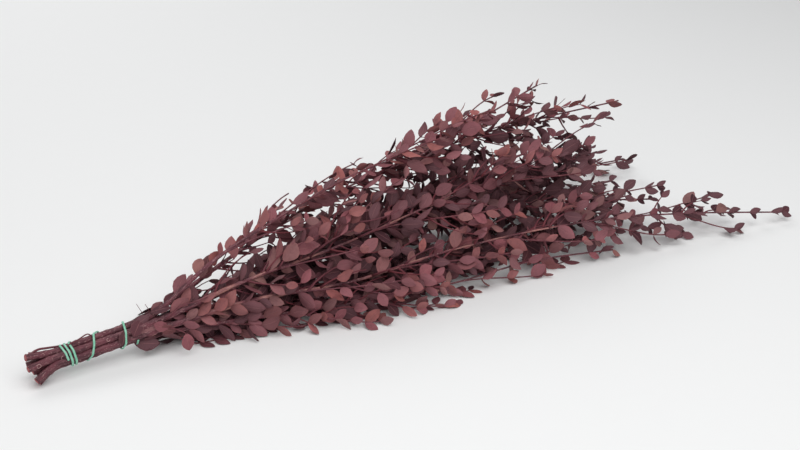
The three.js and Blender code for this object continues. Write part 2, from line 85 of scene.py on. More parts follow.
# Twigs, which leave an axis in a spiral.
TWIG_PITCH = 30
TWIG_LENGTH = (42, 74)
TWIG_ANGLE = (48, 27)  # degrees from the axis, at its root and at its tip
TWIG_TURN = 137.5
SHORTEST_TWIG = 20
TWIG_DROOP = 0.08  # fall of a twig's tip, as a share of its length
TWIG_END_SHARE = 0.45  # length of the last twigs of an axis against the first
TWIG_TRIMS = 8  # a twig is cut back in so many steps over its length
TWIG_MARGIN = 3  # how much nearer it stays to its own stem than to any other
TWIG_INSET = 7  # a twig ends this far inside the outline
FOLIAGE_X = 100  # the twigs of the solids' own row start here on the main stems

# Leaves, in opposite pairs that turn a quarter from one pair to the next.
LEAF_PITCH = 13
LEAF_STRIDE = 3  # one pair in so many is in the solids
LAST_PAIR = 1  # how far the last pair is from the end of its axis
LEAF_LENGTH = (15.5, 25.5)
LEAF_WIDTH_SHARE = (0.5, 0.66)
LEAF_ANGLE = (28, 60)  # degrees from the twig
LEAF_TURN = 12  # the most that a leaf strays from its place round the twig, in degrees
LEAF_ROLL = 32  # the most that a blade turns about its own length, in degrees
LEAF_FACE_OUT = 0.9  # how strongly blades turn their faces out of the bunch
LEAF_ARCH = 0.1  # the most that a blade's middle rises or dips, as a share of its length
LEAF_TIP_SHARE = 0.64  # length of the last leaves of an axis against the first
LEAF_SEAT = 0.4  # how deep a blade starts in the wood
FLAT_LEAF_HEIGHT = 1.3  # a leaf rooted lower than this lies flat on the surface
PRESSED_X = ([60, 125, 470, 640], [0.3, 1, 1, 0.62])  # by x, the share of its angle that a leaf opens by
FREE_X = ([60, 200], [0, 1])  # by x, how far the leaves face out of the bunch and not of the handle
LEAST_RISE = 20  # the least that they then face up, against the distances out
FLATTER_X = ([430, 640], [0, 100])  # by x, how strongly they face up, against the distances out
# The corners of a solid's leaf, as shares of its length and its width.
LEAF_CORNERS = [(0, 0), (0.24, -0.42), (0.6, -0.48), (1, 0), (0.6, 0.48), (0.24, 0.42)]

# The bunch's outline, whose sections are half ellipses that stand on the surface.
BUNCH_OUTLINE = np.array([  # [x, front, back, top]
    [90, -14, 30, 36],
    [150, -28, 48, 74],
    [200, -44, 66, 96],
    [250, -64, 82, 106],
    [300, -73, 96, 118],
    [360, -72, 108, 132],
    [430, -62, 120, 148],
    [500, -70, 128, 158],
    [560, -76, 132, 148],
    [620, -82, 132, 114],
    [680, -92, 118, 50],
    [740, -98, 90, 34],
], float)

# How open the foliage is, by how near it is to the outline and by x.
OPEN_DEPTH = ([0.45, 0.9], [0, 1])
OPEN_X = ([230, 470], [0.15, 1])
TIP_PAIRS = 2  # the last pairs of each axis, which are never left out

# The strand's way along the handle.
STRAND_TURNS = np.array([  # [degrees round the handle, x]: 90 is the top, 180 the front
    [200, 71],
    [270, 72],
    [450, 63],
    [630, 58.5],
    [810, 37.5],
    [990, 28.5],
    [1170, 16.5],
    [1350, 20.5],
    [1530, 13],
    [1710, 17.5],
    [1890, 9.5],
    [1980, 12.5],
], float)

# Each stem: its name, its place in the ring in degrees, its radius, its cut end as x, distance from the
# handle's middle and degrees round it, its free path, and its side branches as (root x, tip).
STEMS = [
    ("stem_1_crest", 90, 2.65, (-19, 10.5, 95),
     [(102, -1, 40), (124, -2, 56), (153, 0, 71), (222, 2, 96), (278, 10, 109), (386, 20, 121),
      (504, 36, 147)],
     [(140, (226, -14, 90)), (176, (300, 32, 111)), (222, (368, -2, 132)),
      (286, (430, 12, 142)), (320, (408, 52, 124)), (372, (470, 60, 135))]),
    ("stem_2_flank", 90 + SLOT, 2.6, (-20, 9.0, 155),
     [(168, -9, 46), (258, -12, 58), (352, -8, 72), (466, 6, 78), (564, 18, 72)],
     [(176, (262, -42, 66)), (214, (330, -6, 104)), (282, (404, -46, 72)),
      (338, (470, -16, 108)), (392, (520, -34, 80)), (452, (564, 22, 102))]),
    ("stem_3_long", 90 + 2 * SLOT, 2.65, (-15, 12.5, 218),
     [(170, -17, 31), (258, -32, 32), (362, -42, 42), (508, -53, 39), (612, -66, 27), (724, -86, 10)],
     [(186, (292, -60, 36)), (280, (412, -54, 30)), (380, (500, -66, 26)), (420, (560, -36, 46)),
      (484, (582, -72, 14)), (536, (664, -44, 26)), (590, (662, -84, 6))]),
    ("stem_4_front", 90 + 3 * SLOT, 2.6, (-12, 13.0, 246),
     [(170, -18, 15), (250, -36, 14), (350, -51, 14), (440, -50, 13), (526, -62, 8)],
     [(130, (212, -36, 4)), (184, (270, -61, 3)), (250, (346, -68, 1)),
      (352, (446, -60, 2)), (400, (492, -38, 12))]),
    ("stem_5_under", 90 + 4 * SLOT, 2.6, (-10, 11.5, 292),
     [(170, 4, 12), (250, 4, 10), (350, 2, 10), (450, 0, 10), (560, 4, 8)],
     [(150, (238, 38, 1)), (196, (296, -20, 3)), (250, (352, 44, 1)), (300, (404, -26, 3)),
      (372, (470, 42, 4)), (430, (524, -24, 5))]),
    ("stem_6_back", 90 + 5 * SLOT, 2.65, (-16, 10.0, 345),
     [(172, 27, 26), (260, 46, 32), (370, 66, 34), (520, 88, 28), (684, 110, 10)],
     [(160, (246, 70, 20)), (226, (336, 98, 24)), (300, (420, 108, 1)), (388, (520, 124, 18)),
      (440, (568, 66, 34)), (508, (622, 132, 8)), (560, (664, 82, 22))]),
    ("stem_7_peak", 90 + 6 * SLOT, 2.6, (-14, 9.5, 42),
     [(170, 26, 52), (250, 40, 74), (346, 50, 90), (470, 56, 102), (624, 56, 104)],
     [(168, (250, 64, 82)), (232, (344, 88, 82)), (300, (424, 98, 70)), (330, (474, 84, 64)),
      (352, (486, 92, 98)), (410, (534, 46, 116)), (452, (590, 94, 82)), (510, (626, 76, 80))]),
    ("stem_8_heart", None, 3.4, (-15, 3.0, 250),
     [(170, 6, 36), (260, 12, 48), (370, 16, 52), (490, 2, 42), (604, -22, 28)],
     [(186, (280, 22, 74)), (240, (350, 20, 24)), (290, (408, 46, 66)), (310, (474, 30, 84)),
      (352, (470, 40, 32)), (418, (548, -10, 30)), (440, (560, 44, 54)), (500, (604, -32, 46))]),
]

# ---------------------------------------------------------------------------
# Finer than the solids
# ---------------------------------------------------------------------------

# Wood.
STEM_END_RADIUS, BRANCH_END_RADIUS = 0.7, 0.6
TAPER = 5  # how soon wood thins: the power of the share that is left of its run
CURVE_STEPS = 14  # points between two points of a stem's path
BRANCH_STEPS = 24
SKELETON_STEPS = (2, 3)  # both for the coarse lines by which the nearest stem is judged
TWIG_STEPS = 6
TWIG_RADIUS = (0.85, 0.4)
TWIG_ROWS = (0, 1 / 3, 2 / 3, 1 / 6)  # where each row of twigs starts, of their pitch: the solids' first
ROW_TURN = 0.4  # how far each row is turned on from the one before, of a twig's turn
HEART_ROW, HEART_DEPTH = 3, 0.62  # this row grows in the heart of the bunch only

# Where twigs and leaves grow.
OPEN_TWIGS = (0.55, 0.97)  # the share left out where the foliage is open, of the solids' row and of the rest
OPEN_LEAVES = (0.6, 0.72)  # and of the pairs of leaves, of the solids' own and of the rest
THIN_X = ([480, 610], [0, 0.6])  # by x, how much more of the rest is left out
FULL_STEMS, FULL_SHARE = ("stem_3_long",), 0.6  # these stems lose only so much of their share of the rest
SCENE_FOLIAGE_X = 62  # the leaves and the rest of the twigs start here on the main stems
SCENE_MARGIN = -14  # the further twigs and the leaves may reach this far into another stem's ground
COVER_X, COVER_STEPS = [66, 215], 12  # where the main stems carry a second set of leaves
BOX_SLACK = 0.024  # how far the leaves may reach beyond the solids' box, of its sides
OUTLINE_SLACK = 4  # and beyond the outline
# The stems that lie clear of leaves between two x, as seen from one side, the way to that side, and how
# far they are clear to both sides and ahead, judged at places so far apart.
CLEAR_STEMS = {"stem_1_crest": (88, 232), "stem_2_flank": (150, 335), "stem_3_long": (215, 470)}
CLEAR_WAY = np.array([-0.402, -0.814, 0.42])
CLEAR_ASIDE, CLEAR_AHEAD, CLEAR_STEP = 7.5, 60, 3
# The gap below the crest stem, as seen from that side: its x, its distances from the stem, and the share
# of the leaves there that may hang in it.
GAP_X, GAP_BELOW, GAP_LEAVES = (118, 218), (2.5, 21), 0.1

# Leaves.
ADDED_ROLL = 1.9  # how much more the pairs roll that aren't in the solids
FLAT_SHARE = 0.3  # how much of its curl and its folds a leaf keeps that lies flat
SOLID_LEAF_THICKNESS, LEAF_THICKNESS = 0.7, 0.36
LEAF_TAKES = 3  # how many draws a leaf has to fit in
SPOTS = 1000  # more leaves than any axis has
RAISE_STEPS, RAISE, RAISE_FACE = 12, 0.02, 0.25  # how a leaf that reaches below the surface is turned up
BLADE_CORE = 0.8  # how much of a blade's ellipse nothing may cut, of 1
BLADE_NECK = 2.5  # beyond this far from its root
BATCH = 500  # the leaves that are looked at together

# The shape of the blades: where their points lie along and across them, where they are widest, how full
# they are and how thin at the edge, and how far each bend goes.
LEAF_STATIONS = np.array([0, 0.08, 0.25, 0.47, 0.7, 0.9, 1])
LEAF_ACROSS = np.array([-1, -0.5, 0, 0.5, 1])
WIDEST, FULLNESS, EDGE_POWER = 0.95, 0.76, 8
ARCH, TIP_CURL, FOLD, FOLD_UP, CUP = 1.2, 0.09, 0.22, 0.7, 0.22
WAVE, WAVES, LEAN, TWIST = 0.025, 1.5, 0.05, 0.5
# Painted shade: by x, by z and by how near they are to the outline, how far the leaves' tone is from plum.
# Leaves are darker near the handle and towards the tips where they are not high up, and darker in the heart
# of the bunch.
PAINTED_SHADE_X = ([70, 120, 440, 640], [0.3, 1, 1, 0.25])
PAINTED_SHADE_Z = ([50, 100], [0, 1])
PAINTED_HEART_SHADE = ([0.4, 0.9], [0.1, 1.2])

# The surface of the wood.
STEM_SIDES, BRANCH_SIDES, TWIG_SIDES, STRAY_SIDES, SCAR_SIDES = 18, 9, 6, 7, 5
# Its rings: closer together up to an x of each stem, and at the root of each branch.
HANDLE_END, HANDLE_STEP, STEM_STEP, STEM_LAST_STEP = 112, 1.5, 4.5, 1
ROOT_RINGS, BRANCH_START, BRANCH_STEP, BRANCH_LAST_STEP = [0, 1.5, 3, 5], 8, 5, 2
STEM_SWELL = 1.04  # the stems' radius against the solids'
NODE_SWELL, NODE_REACH = 0.14, 1.8  # the swelling at each pair of leaves
FLARE, BRANCH_FLARE_REACH, TWIG_FLARE_RATE = 0.5, 3, 12  # the collar at the root of a branch or a twig
CUT_BEVEL, CUT_SHARE = 0.25, 0.88  # how far the cut face stands out, and its radius against the stem's
# The ridges of the bark: how high they are, how many go round, and how they turn and wander.
STEM_RELIEF, BRANCH_RELIEF, RELIEF_LOBES = 0.12, 0.06, (2, 3, 5)
RELIEF_DRIFT, RELIEF_WANDER, RELIEF_PACE = 0.05, 0.8, 0.11
TWIG_LOOK = {"stem": 0, "branch": 0.5, "stray": 0.6, "twig": 1}  # how far wood has the colour of a twig
# The bark that is left golden: the stems, where along them, and how its stretches come and go.
GOLDEN_STEMS = ("stem_2_flank", "stem_3_long", "stem_8_heart")
GOLDEN_X = ([110, 150, 440, 520], [0, 1, 1, 0])
GOLDEN_MEAN, GOLDEN_SWING, GOLDEN_STRETCH, GOLDEN_DRIFT = 0.6, 0.4, 9, 31
# Branch scars on the stems by the tie: the stem, x, degrees round the stem and radius.
SCARS = [("stem_2_flank", -12, 175, 1.7), ("stem_2_flank", 9, 205, 1.8), ("stem_1_crest", -6, 150, 1.2),
         ("stem_3_long", 30, 190, 1.5), ("stem_2_flank", 47, 160, 1.3), ("stem_1_crest", 46, 140, 1.3),
         ("stem_7_peak", 8, 60, 1.4), ("stem_6_back", 28, 20, 1.5), ("stem_5_under", 20, 280, 1.4)]
SCAR_WIDTH, SCAR_STEPS = 0.3, 12
# Bare stray twigs: their radius and their points.
STRAYS = [(1.15, [(-17.5, 0.5, 22), (-15.9, 1, 23.5), (-12, 2, 26.2), (-7.1, 3, 27), (0, 4, 25.8),
                  (9, 4.5, 24.4), (17, 4, 24.2), (30, 3, 24)]),
          (0.7, [(12, -2, 24.5), (17.9, -2, 27.5), (24.5, -2.5, 29.6), (30.1, -3, 32.3),
                 (32.5, -3, 32.2), (36, -2, 28)]),
          (0.3, [(86, 2, 31), (82, 2, 33.4), (79.3, 2, 38.7), (76.7, 3, 44.5)]),
          (0.35, [(92, 0, 34), (86.6, 0, 35.8), (85.1, 0, 39.4), (83, 0, 43.9)]),
          (0.8, [(96, -9, 30), (111, -8, 38), (124, -12, 41), (137, -13, 43.5)]),
          (0.6, [(92, -8.5, 23), (98, -14, 24), (103, -20, 23.5), (107.4, -24.5, 20.8)])]
STRAY_STEPS, STRAY_TAPER, STRAY_TONE = 4, 0.35, 0.5
# Leaves laid one by one: x, degrees and distance from the handle's middle of root and tip, and width.
# All but the last lie pressed round the handle, and the last hangs from a stray twig.
PRESSED = [((60.5, 132, 10.1), (57, 204, 9.9), 9), ((77, 112, 10.5), (67, 176, 10.5), 11),
           ((85, 150, 11.4), (97, 182, 13), 9), ((90, 172, 12.2), (103, 206, 14), 10),
           ((86, 96, 12.2), (103, 118, 15), 10), ((76, 205, 10.6), (89, 232, 11.6), 8),
           ((78, 60, 11.4), (95, 30, 14), 12), ((70, 330, 10.4), (88, 350, 13), 11),
           ((82, 268, 12), (100, 280, 14), 12), ((107, 190.5, 24.6), (108.4, 219, 32.5), 11)]
PRESSED_LOOSE = 0.12  # how much of its folds such a leaf keeps

# The strand.
STRAND_WIDTH, STRAND_THICKNESS = 0.95, 0.55
STRAND_STEPS, STRAND_SIDES = 10, 10  # its steps from one stem to the next, and its sides

# Patterns: the side veins of half a blade and how they slant, and the rings of cut wood and the threads
# of the strand, in radians for each metre.
SIDE_VEINS, VEIN_SLANT = 9, 2.2
WOOD_RINGS, THREADS = 9000, 9000

# Colours, linear.
PLUM, BURGUNDY = (0.066, 0.023, 0.031), (0.335, 0.108, 0.126)
RUST, TAN = (0.47, 0.152, 0.13), (0.42, 0.21, 0.185)
# The vein colour also paints a highlight along the blades' edges.
DARK_SPOT, VEIN_AND_RIM_LIGHT, UNDERSIDE = (0.08, 0.03, 0.038), (0.36, 0.15, 0.15), (0.25, 0.12, 0.135)
BARK_DARK, BARK = (0.08, 0.025, 0.034), (0.15, 0.041, 0.055)
BARK_LIGHT, TWIG_RED = (0.24, 0.1, 0.112), (0.19, 0.033, 0.041)
GOLD, SCUFF = (0.45, 0.2, 0.175), (0.5, 0.3, 0.29)
CUT_WOOD, CUT_RING, PITH = (0.42, 0.09, 0.1), (0.55, 0.2, 0.18), (0.6, 0.3, 0.27)
MINT, MINT_LIGHT, MINT_SHADE = (0.22, 0.6, 0.41), (0.4, 0.76, 0.58), (0.08, 0.36, 0.22)
PAPER, PAPER_SHADE = (0.89, 0.895, 0.89), (0.87, 0.875, 0.87)

# The floor, the light and the camera, in metres in the frame.
FLOOR_HALF = 6
STUDIO_COLOUR, STUDIO_STRENGTH = (0.97, 0.975, 1, 1), 0.28
CAMERA_PLACE = (-0.6352, -0.9899, 0.5651)
CAMERA_AIM = (0.0374, 0.0866, 0)
CAMERA_LENS, CAMERA_SENSOR, CAMERA_REACH = 62.8, 36, 30

# What tells apart the numbers drawn from one seed.
TWIG_LENGTH_KEY, TWIG_TURN_KEY, TWIG_GROWS_KEY, ROW_KEY = 1, 2, 8, 1000
LEAF_TURN_KEY, LEAF_ANGLE_KEY, LEAF_LENGTH_KEY, LEAF_WIDTH_KEY, LEAF_ROLL_KEY, LEAF_CURL_KEY = range(1, 7)
FIRST_PAIR_KEY, PAIR_GROWS_KEY, GAP_KEY, TAKE_KEY, COVER_KEY = 7, 9, 12, 40, 500
BLADE_KEY, DYE_KEY, RELIEF_KEY, DRIFT_KEY, TONE_KEY, PRESSED_KEY = 20, 30, 50, 60, 70, 300

# ---------------------------------------------------------------------------
# Repeatable draws and small helpers
# ---------------------------------------------------------------------------

WORD = np.uint64(0xFFFFFFFF)


def stir(state, *keys):
    """Hashes whole numbers into a 32-bit state, one after the other, by multiplying and shifting."""
    h = np.asarray(state, np.uint64)
    for key in keys:
        h = ((h ^ (np.asarray(key, np.uint64) + np.uint64(1))) * np.uint64(0x85EBCA6B)) & WORD
        h = ((h ^ (h >> np.uint64(13))) * np.uint64(0xC2B2AE35)) & WORD
        h = h ^ (h >> np.uint64(16))
    return h


SEED = stir(0x2545F491)


def draw(state, *keys):
    """A number from 0 to 1 that depends only on the state and the whole numbers given."""
    return stir(state, *keys).astype(float) / 2**32


def either_way(state, *keys):
    """A number from -1 to 1, drawn in the same way."""
    return 2 * draw(state, *keys) - 1


def between(low_high, share):
    """The number at a share of the way from the first of two to the second."""
    low, high = low_high
    return low + (high - low) * share


def dot(a, b):
    """The dot product of each two vectors."""
    return np.sum(a * b, axis=-1)


def unit(a):
    """Vectors at unit length."""
    return a / np.linalg.norm(a, axis=-1, keepdims=True)


def column(values):
    """Numbers with one more axis, to multiply rows of vectors."""
    return np.asarray(values, float)[..., None]


def turned(vectors, axis, angle):
    """Vectors turned about unit axes: v cos a + (k x v) sin a + k (k.v)(1 - cos a)."""
    c, s = column(np.cos(angle)), column(np.sin(angle))
    return vectors * c + np.cross(axis, vectors) * s + axis * column(dot(axis, vectors)) * (1 - c)


def perpendicular(reference, along):
    """The reference without its share along each direction, at unit length."""
    return unit(reference - along * column(dot(along, reference)))


def aside(along, up, angle, turn):
    """Directions at an angle from the axis, and at a turn about it from its own up."""
    side = np.cross(along, up)
    out = up * column(np.cos(turn)) + side * column(np.sin(turn))
    return along * column(np.cos(angle)) + out * column(np.sin(angle))


def outline_at(x):
    """Front, back and top of the bunch's outline at each x, straight between its rows."""
    rows = BUNCH_OUTLINE
    return [np.interp(x, rows[:, 0], rows[:, k]) for k in (1, 2, 3)]


def inside_outline(places, inset):
    """Is each point inside the half ellipse that stands on the surface at its x, and this far in?"""
    front, back, top = outline_at(places[..., 0])
    half_width = (back - front) / 2 - inset
    return np.hypot((places[..., 1] - (front + back) / 2) / half_width, places[..., 2] / (top - inset)) < 1


def depth_at(places):
    """How near each place is to the outline: 0 in the middle of the surface below it and 1 there."""
    front, back, top = outline_at(places[..., 0])
    return np.hypot((places[..., 1] - (front + back) / 2) / (back - front) * 2, places[..., 2] / top)


def openness(places):
    """How open the foliage is at each place: 0 in its heart and 1 at the outline near the tips."""
    return np.interp(depth_at(places), *OPEN_DEPTH) * np.interp(places[..., 0], *OPEN_X)


def share_left_out(places, in_solids, shares, full):
    """The share of the twigs or pairs of leaves that is left out at each place: it grows as the foliage
    opens, to the first of the shares for the solids' own, and to the second and more by x for the rest."""
    opened = openness(places)
    further = (shares[1] * opened + np.interp(places[:, 0], *THIN_X)) * (FULL_SHARE if full else 1)
    return np.where(in_solids, shares[0] * opened, further)


def inside_box(places):
    """Is each point inside the solids' box, or only just outside?"""
    low, high = [np.array(corner) / MM + BUNCH_MIDDLE for corner in cad_box]
    slack = BOX_SLACK * (high - low)
    return ((places > low - slack) & (places < high + slack)).all(axis=-1)


# ---------------------------------------------------------------------------
# Growth
# ---------------------------------------------------------------------------


class Axis:
    """A woody axis: a line through points, its radius at the root and at the end, and its seed. A full
    one keeps more of its twigs and leaves."""

    def __init__(self, points, root_radius, end_radius, seed, full=False):
        self.points = points
        self.radii = (root_radius, end_radius)
        self.seed, self.full = seed, full
        steps = np.linalg.norm(np.diff(points, axis=0), axis=1)
        self.runs = np.concatenate([[0], np.cumsum(steps)])
        self.length = self.runs[-1]
        self.held = 0

    def at(self, run):
        """Place and direction at distances along the axis, straight between its points."""
        i = np.clip(np.searchsorted(self.runs, run), 1, len(self.runs) - 1)
        start, end = self.points[i - 1], self.points[i]
        share = (run - self.runs[i - 1]) / (self.runs[i] - self.runs[i - 1])
        return start + (end - start) * column(share), unit(end - start)

    def radius_at(self, run):
        """The radius holds as far as the axis is held, and then thins."""
        root, end = self.radii
        left = np.minimum(1, (self.length - np.asarray(run)) / (self.length - self.held))
        return end + (root - end) * left**TAPER

    def run_at_x(self, x):
        """The distance along the axis at which it passes an x."""
        return float(np.interp(x, self.points[:, 0], self.runs))


def handle_at(x):
    """The middle of the handle at each x."""
    x = np.asarray(x, float)
    return np.stack([x, 0 * x, HANDLE_HEIGHT + HANDLE_RISE * x], axis=-1)


def in_handle(x, out, degrees):
    """Out from the handle's middle at a turn, 90 degrees being up and 180 the front."""
    turn = np.radians(degrees)
    zero = np.zeros(np.broadcast(x, out, turn).shape)
    return handle_at(x + zero) + np.stack([zero, out * np.cos(turn) + zero, out * np.sin(turn) + zero], -1)


def smooth_curve(through, steps):
    """A smooth curve through points: between two of them a cubic, its end slopes from the square roots
    of the distances to the points beside them."""
    p = np.vstack([2 * through[0] - through[1], through, 2 * through[-1] - through[-2]])
    spans = np.sqrt(np.linalg.norm(np.diff(p, axis=0), axis=1))
    t = np.linspace(0, 1, steps, endpoint=False)[:, None]
    pieces = []
    for i in range(1, len(p) - 2):
        a, b, c = spans[i - 1], spans[i], spans[i + 1]
        start = ((p[i] - p[i - 1]) / a - (p[i + 1] - p[i - 1]) / (a + b) + (p[i + 1] - p[i]) / b) * b
        end = ((p[i + 1] - p[i]) / b - (p[i + 2] - p[i]) / (b + c) + (p[i + 2] - p[i + 1]) / c) * b
        rise = p[i + 1] - p[i]
        square, cube = 3 * rise - 2 * start - end, start + end - 2 * rise
        pieces.append(p[i] + start * t + square * t**2 + cube * t**3)
    return np.vstack([*pieces, p[-2:-1]])


def stem_axis(index, stem, steps):
    """The main axis of a stem: from its cut end, through the handle and along its free path."""
    name, slot, radius, cut_end, path, _ = stem
    ring = [in_handle(x, 0 if slot is None else out, slot or 0) for x, out in RING_RADIUS]
    through = np.array([in_handle(*cut_end), *ring, *path], float)
    seed = stir(SEED, index, 0)
    axis = Axis(smooth_curve(through, steps), radius, STEM_END_RADIUS, seed, name in FULL_STEMS)
    axis.held = axis.run_at_x(HANDLE_LENGTH)
    return axis


def branch_axis(stem, index, order, root_x, tip, steps):
    """A side branch, the cubic curve of four control points, weighted by (1 - t)^3, 3 t (1 - t)^2,
    3 t^2 (1 - t) and t^3: it leaves along its stem and bends away to its tip."""
    run = stem.run_at_x(root_x)
    root, along = stem.at(run)
    tip = np.array(tip, float)
    reach = tip - root
    handle = BRANCH_HANDLE * np.linalg.norm(reach)
    arrival = unit(unit(reach) + FORWARD)
    controls = np.array([root, root + along * handle, tip - arrival * handle, tip])
    t = np.linspace(0, 1, steps + 1)[:, None]
    weights = np.hstack([(1 - t) ** 3, 3 * t * (1 - t) ** 2, 3 * t**2 * (1 - t), t**3])
    radius = BRANCH_ROOT_SHARE * stem.radius_at(run)
    return Axis(weights @ controls, radius, BRANCH_END_RADIUS, stir(SEED, index, order), stem.full)


def skeleton(index, stem, stem_steps, branch_steps):
    """A stem's main axis and its side branches."""
    main = stem_axis(index, stem, stem_steps)
    limbs = [branch_axis(main, index, i + 1, *b, branch_steps) for i, b in enumerate(stem[-1])]
    return [main, *limbs]


def distance_to(places, axes):
    """The shortest distance from each point to the axes."""
    start = np.vstack([axis.points[:-1] for axis in axes])
    step = np.vstack([np.diff(axis.points, axis=0) for axis in axes])
    away = places[..., None, :] - start
    share = np.clip(dot(away, step) / dot(step, step), 0, 1)
    return np.linalg.norm(away - step * column(share), axis=-1).min(axis=-1)


def own_ground(places, own, skeletons, margin):
    """Is each point nearer to its own stem's wood than to any other stem's, by a margin?"""
    distances = np.stack([distance_to(places, axes) for axes in skeletons])
    others = np.delete(distances, own, axis=0).min(axis=0)
    return others > distances[own] + margin


def twigs_on(axis, start, own, skeletons, row, margin):
    """The twigs of one axis: each the curve of three control points, weighted by (1 - t)^2, 2 t (1 - t)
    and t^2, that leaves at an angle, bends forward and droops, kept as far as it stays on its own ground
    and in the outline. Row 0 is the solids' own, and each further row stands between its twigs."""
    first_run = start + TWIG_PITCH * TWIG_ROWS[row]
    count = int((axis.length - first_run - TWIG_PITCH / 2) // TWIG_PITCH)
    if count < 1:
        return []
    i = np.arange(count)
    run = first_run + i * TWIG_PITCH
    root, along = axis.at(run)
    up = perpendicular(UP, along)
    seeds = stir(axis.seed, i + ROW_KEY * row)
    by_run = between((1, TWIG_END_SHARE), run / axis.length)
    length = between(TWIG_LENGTH, draw(seeds, TWIG_LENGTH_KEY)) * by_run
    turn = np.radians(TWIG_TURN) * (i + ROW_TURN * row) + 2 * np.pi * draw(axis.seed, TWIG_TURN_KEY)
    first, last = [aside(along, up, np.full(count, np.radians(angle)), turn) for angle in TWIG_ANGLE]
    middle = root + first * column(length / 2)
    tip = root + last * column(length) - UP * column(TWIG_DROOP * length)
    t = np.linspace(0, 1, TWIG_STEPS + 1)[:, None]
    curve = root[:, None] * (1 - t) ** 2 + middle[:, None] * 2 * t * (1 - t) + tip[:, None] * t**2
    curve[..., 2] = np.maximum(curve[..., 2], TWIG_RADIUS[0])
    missing = share_left_out(tip, row == 0, OPEN_TWIGS, axis.full)
    if row == HEART_ROW:
        missing = missing + (depth_at(tip) > HEART_DEPTH)
    grows = draw(seeds, TWIG_GROWS_KEY) >= missing
    kept = []
    for points, seed in zip(curve[grows], seeds[grows]):
        twig = Axis(points, *TWIG_RADIUS, seed)
        places, _ = twig.at(twig.length * np.arange(1, TWIG_TRIMS + 1) / TWIG_TRIMS)
        good = inside_outline(places, TWIG_INSET) & own_ground(places, own, skeletons, margin)
        share = np.cumprod(good).sum() / TWIG_TRIMS
        if share * twig.length < SHORTEST_TWIG:
            continue
        places, _ = twig.at(share * twig.length * np.linspace(0, 1, TWIG_STEPS + 1))
        kept.append(Axis(places, *TWIG_RADIUS, seed, axis.full))
    return kept


def outward(places):
    """The way out of the bunch at each place, as seen from the middle of its foliage."""
    middle = handle_at(places[..., 0])
    free = np.interp(places[..., 0], *FREE_X)
    out = np.zeros_like(places)
    out[..., 1] = places[..., 1] - BUNCH_MIDDLE[1] * free
    out[..., 2] = places[..., 2] - middle[..., 2] * (1 - free / 2)
    out[..., 2] = np.maximum(out[..., 2], LEAST_RISE * free) + np.interp(places[..., 0], *FLATTER_X)
    return unit(out)


def leaves_on(axis, start, take):
    """The pairs of leaves of one axis, from its end back to a distance from its root. Each take is
    another draw of the same leaves."""
    pairs = int((axis.length - LAST_PAIR - start) // LEAF_PITCH)
    back, side = np.divmod(np.arange(2 * (pairs + 1)), 2)
    run = axis.length - LAST_PAIR - back * LEAF_PITCH
    root, stem = axis.at(run)
    up = perpendicular(UP, stem)
    seeds = stir(axis.seed, back, side) if take == 0 else stir(axis.seed, back, side, TAKE_KEY + take)
    flat = root[:, 2] < FLAT_LEAF_HEIGHT
    quarter = np.radians(90)
    first = np.where(flat, 0, 2 * np.pi * draw(axis.seed, FIRST_PAIR_KEY) + quarter * (back - 1))
    turn = first + quarter + np.pi * side + np.radians(LEAF_TURN) * either_way(seeds, LEAF_TURN_KEY)
    angle = np.radians(between(LEAF_ANGLE, draw(seeds, LEAF_ANGLE_KEY))) * np.interp(root[:, 0], *PRESSED_X)
    along = aside(stem, up, angle, turn)
    along[flat, 2] = 0
    along = unit(along)
    by_run = between((1, LEAF_TIP_SHARE), run / axis.length)
    length = between(LEAF_LENGTH, draw(seeds, LEAF_LENGTH_KEY)) * by_run
    width = length * between(LEAF_WIDTH_SHARE, draw(seeds, LEAF_WIDTH_KEY))
    added = back % LEAF_STRIDE > 0
    out = outward(root)
    face = stem * column(np.sin(angle)) - along * column(np.cos(angle))
    face = face + out * column(np.where(dot(face, out) < 0, -LEAF_FACE_OUT, LEAF_FACE_OUT))
    roll = np.radians(LEAF_ROLL) * np.where(added, ADDED_ROLL, 1)
    face = turned(face, along, roll * either_way(seeds, LEAF_ROLL_KEY))
    face[flat] = UP
    face = perpendicular(face, along)
    sunk = np.maximum(axis.radius_at(run) - LEAF_SEAT, 0) / np.sin(angle)
    missing = share_left_out(root, ~added, OPEN_LEAVES, axis.full)
    bare = (draw(axis.seed, back, PAIR_GROWS_KEY) < missing) & (back >= TIP_PAIRS)
    loose = np.where(flat, FLAT_SHARE, 1)
    return {"bare": bare, "root": root + along * column(sunk), "along": along, "face": face,
            "length": length, "width": width, "flat": flat, "loose": loose,
            "curl": either_way(seeds, LEAF_CURL_KEY) * loose, "seed": seeds, "spot": 2 * back + side}


def leaf_corners(leaf):
    """The six corners of each blade: root, two on one edge, tip, and two on the other edge."""
    across = np.cross(leaf["along"], leaf["face"])
    arch = np.where(leaf["flat"], 0, LEAF_ARCH * leaf["length"] * leaf["curl"])
    corners = [leaf["root"] + leaf["along"] * column(share * leaf["length"])
               + across * column(half * leaf["width"]) + leaf["face"] * column(arch if half else 0 * arch)
               for share, half in LEAF_CORNERS]
    return np.stack(corners, axis=1)


def raised(leaf):
    """Turns up the leaves that would reach below the surface, step by step, and says which did so to
    the last."""
    for _ in range(RAISE_STEPS):
        lowest = leaf_corners(leaf)[..., 2].min(axis=1) - SOLID_LEAF_THICKNESS / 2
        low = (lowest < 0) & ~leaf["flat"]
        rise = (RAISE - lowest / leaf["length"])[low]
        leaf["along"][low] = unit(leaf["along"][low] + UP * column(rise))
        leaf["face"][low] = perpendicular(leaf["face"][low] + RAISE_FACE * UP, leaf["along"][low])
    return low


def chosen(leaf, rows):
    """The given rows of each of the leaves' columns."""
    return {key: values[rows] for key, values in leaf.items()}


def gathered(leaves):
    """Several sets of leaves as one."""
    return {key: np.concatenate([leaf[key] for leaf in leaves]) for key in leaves[0]}


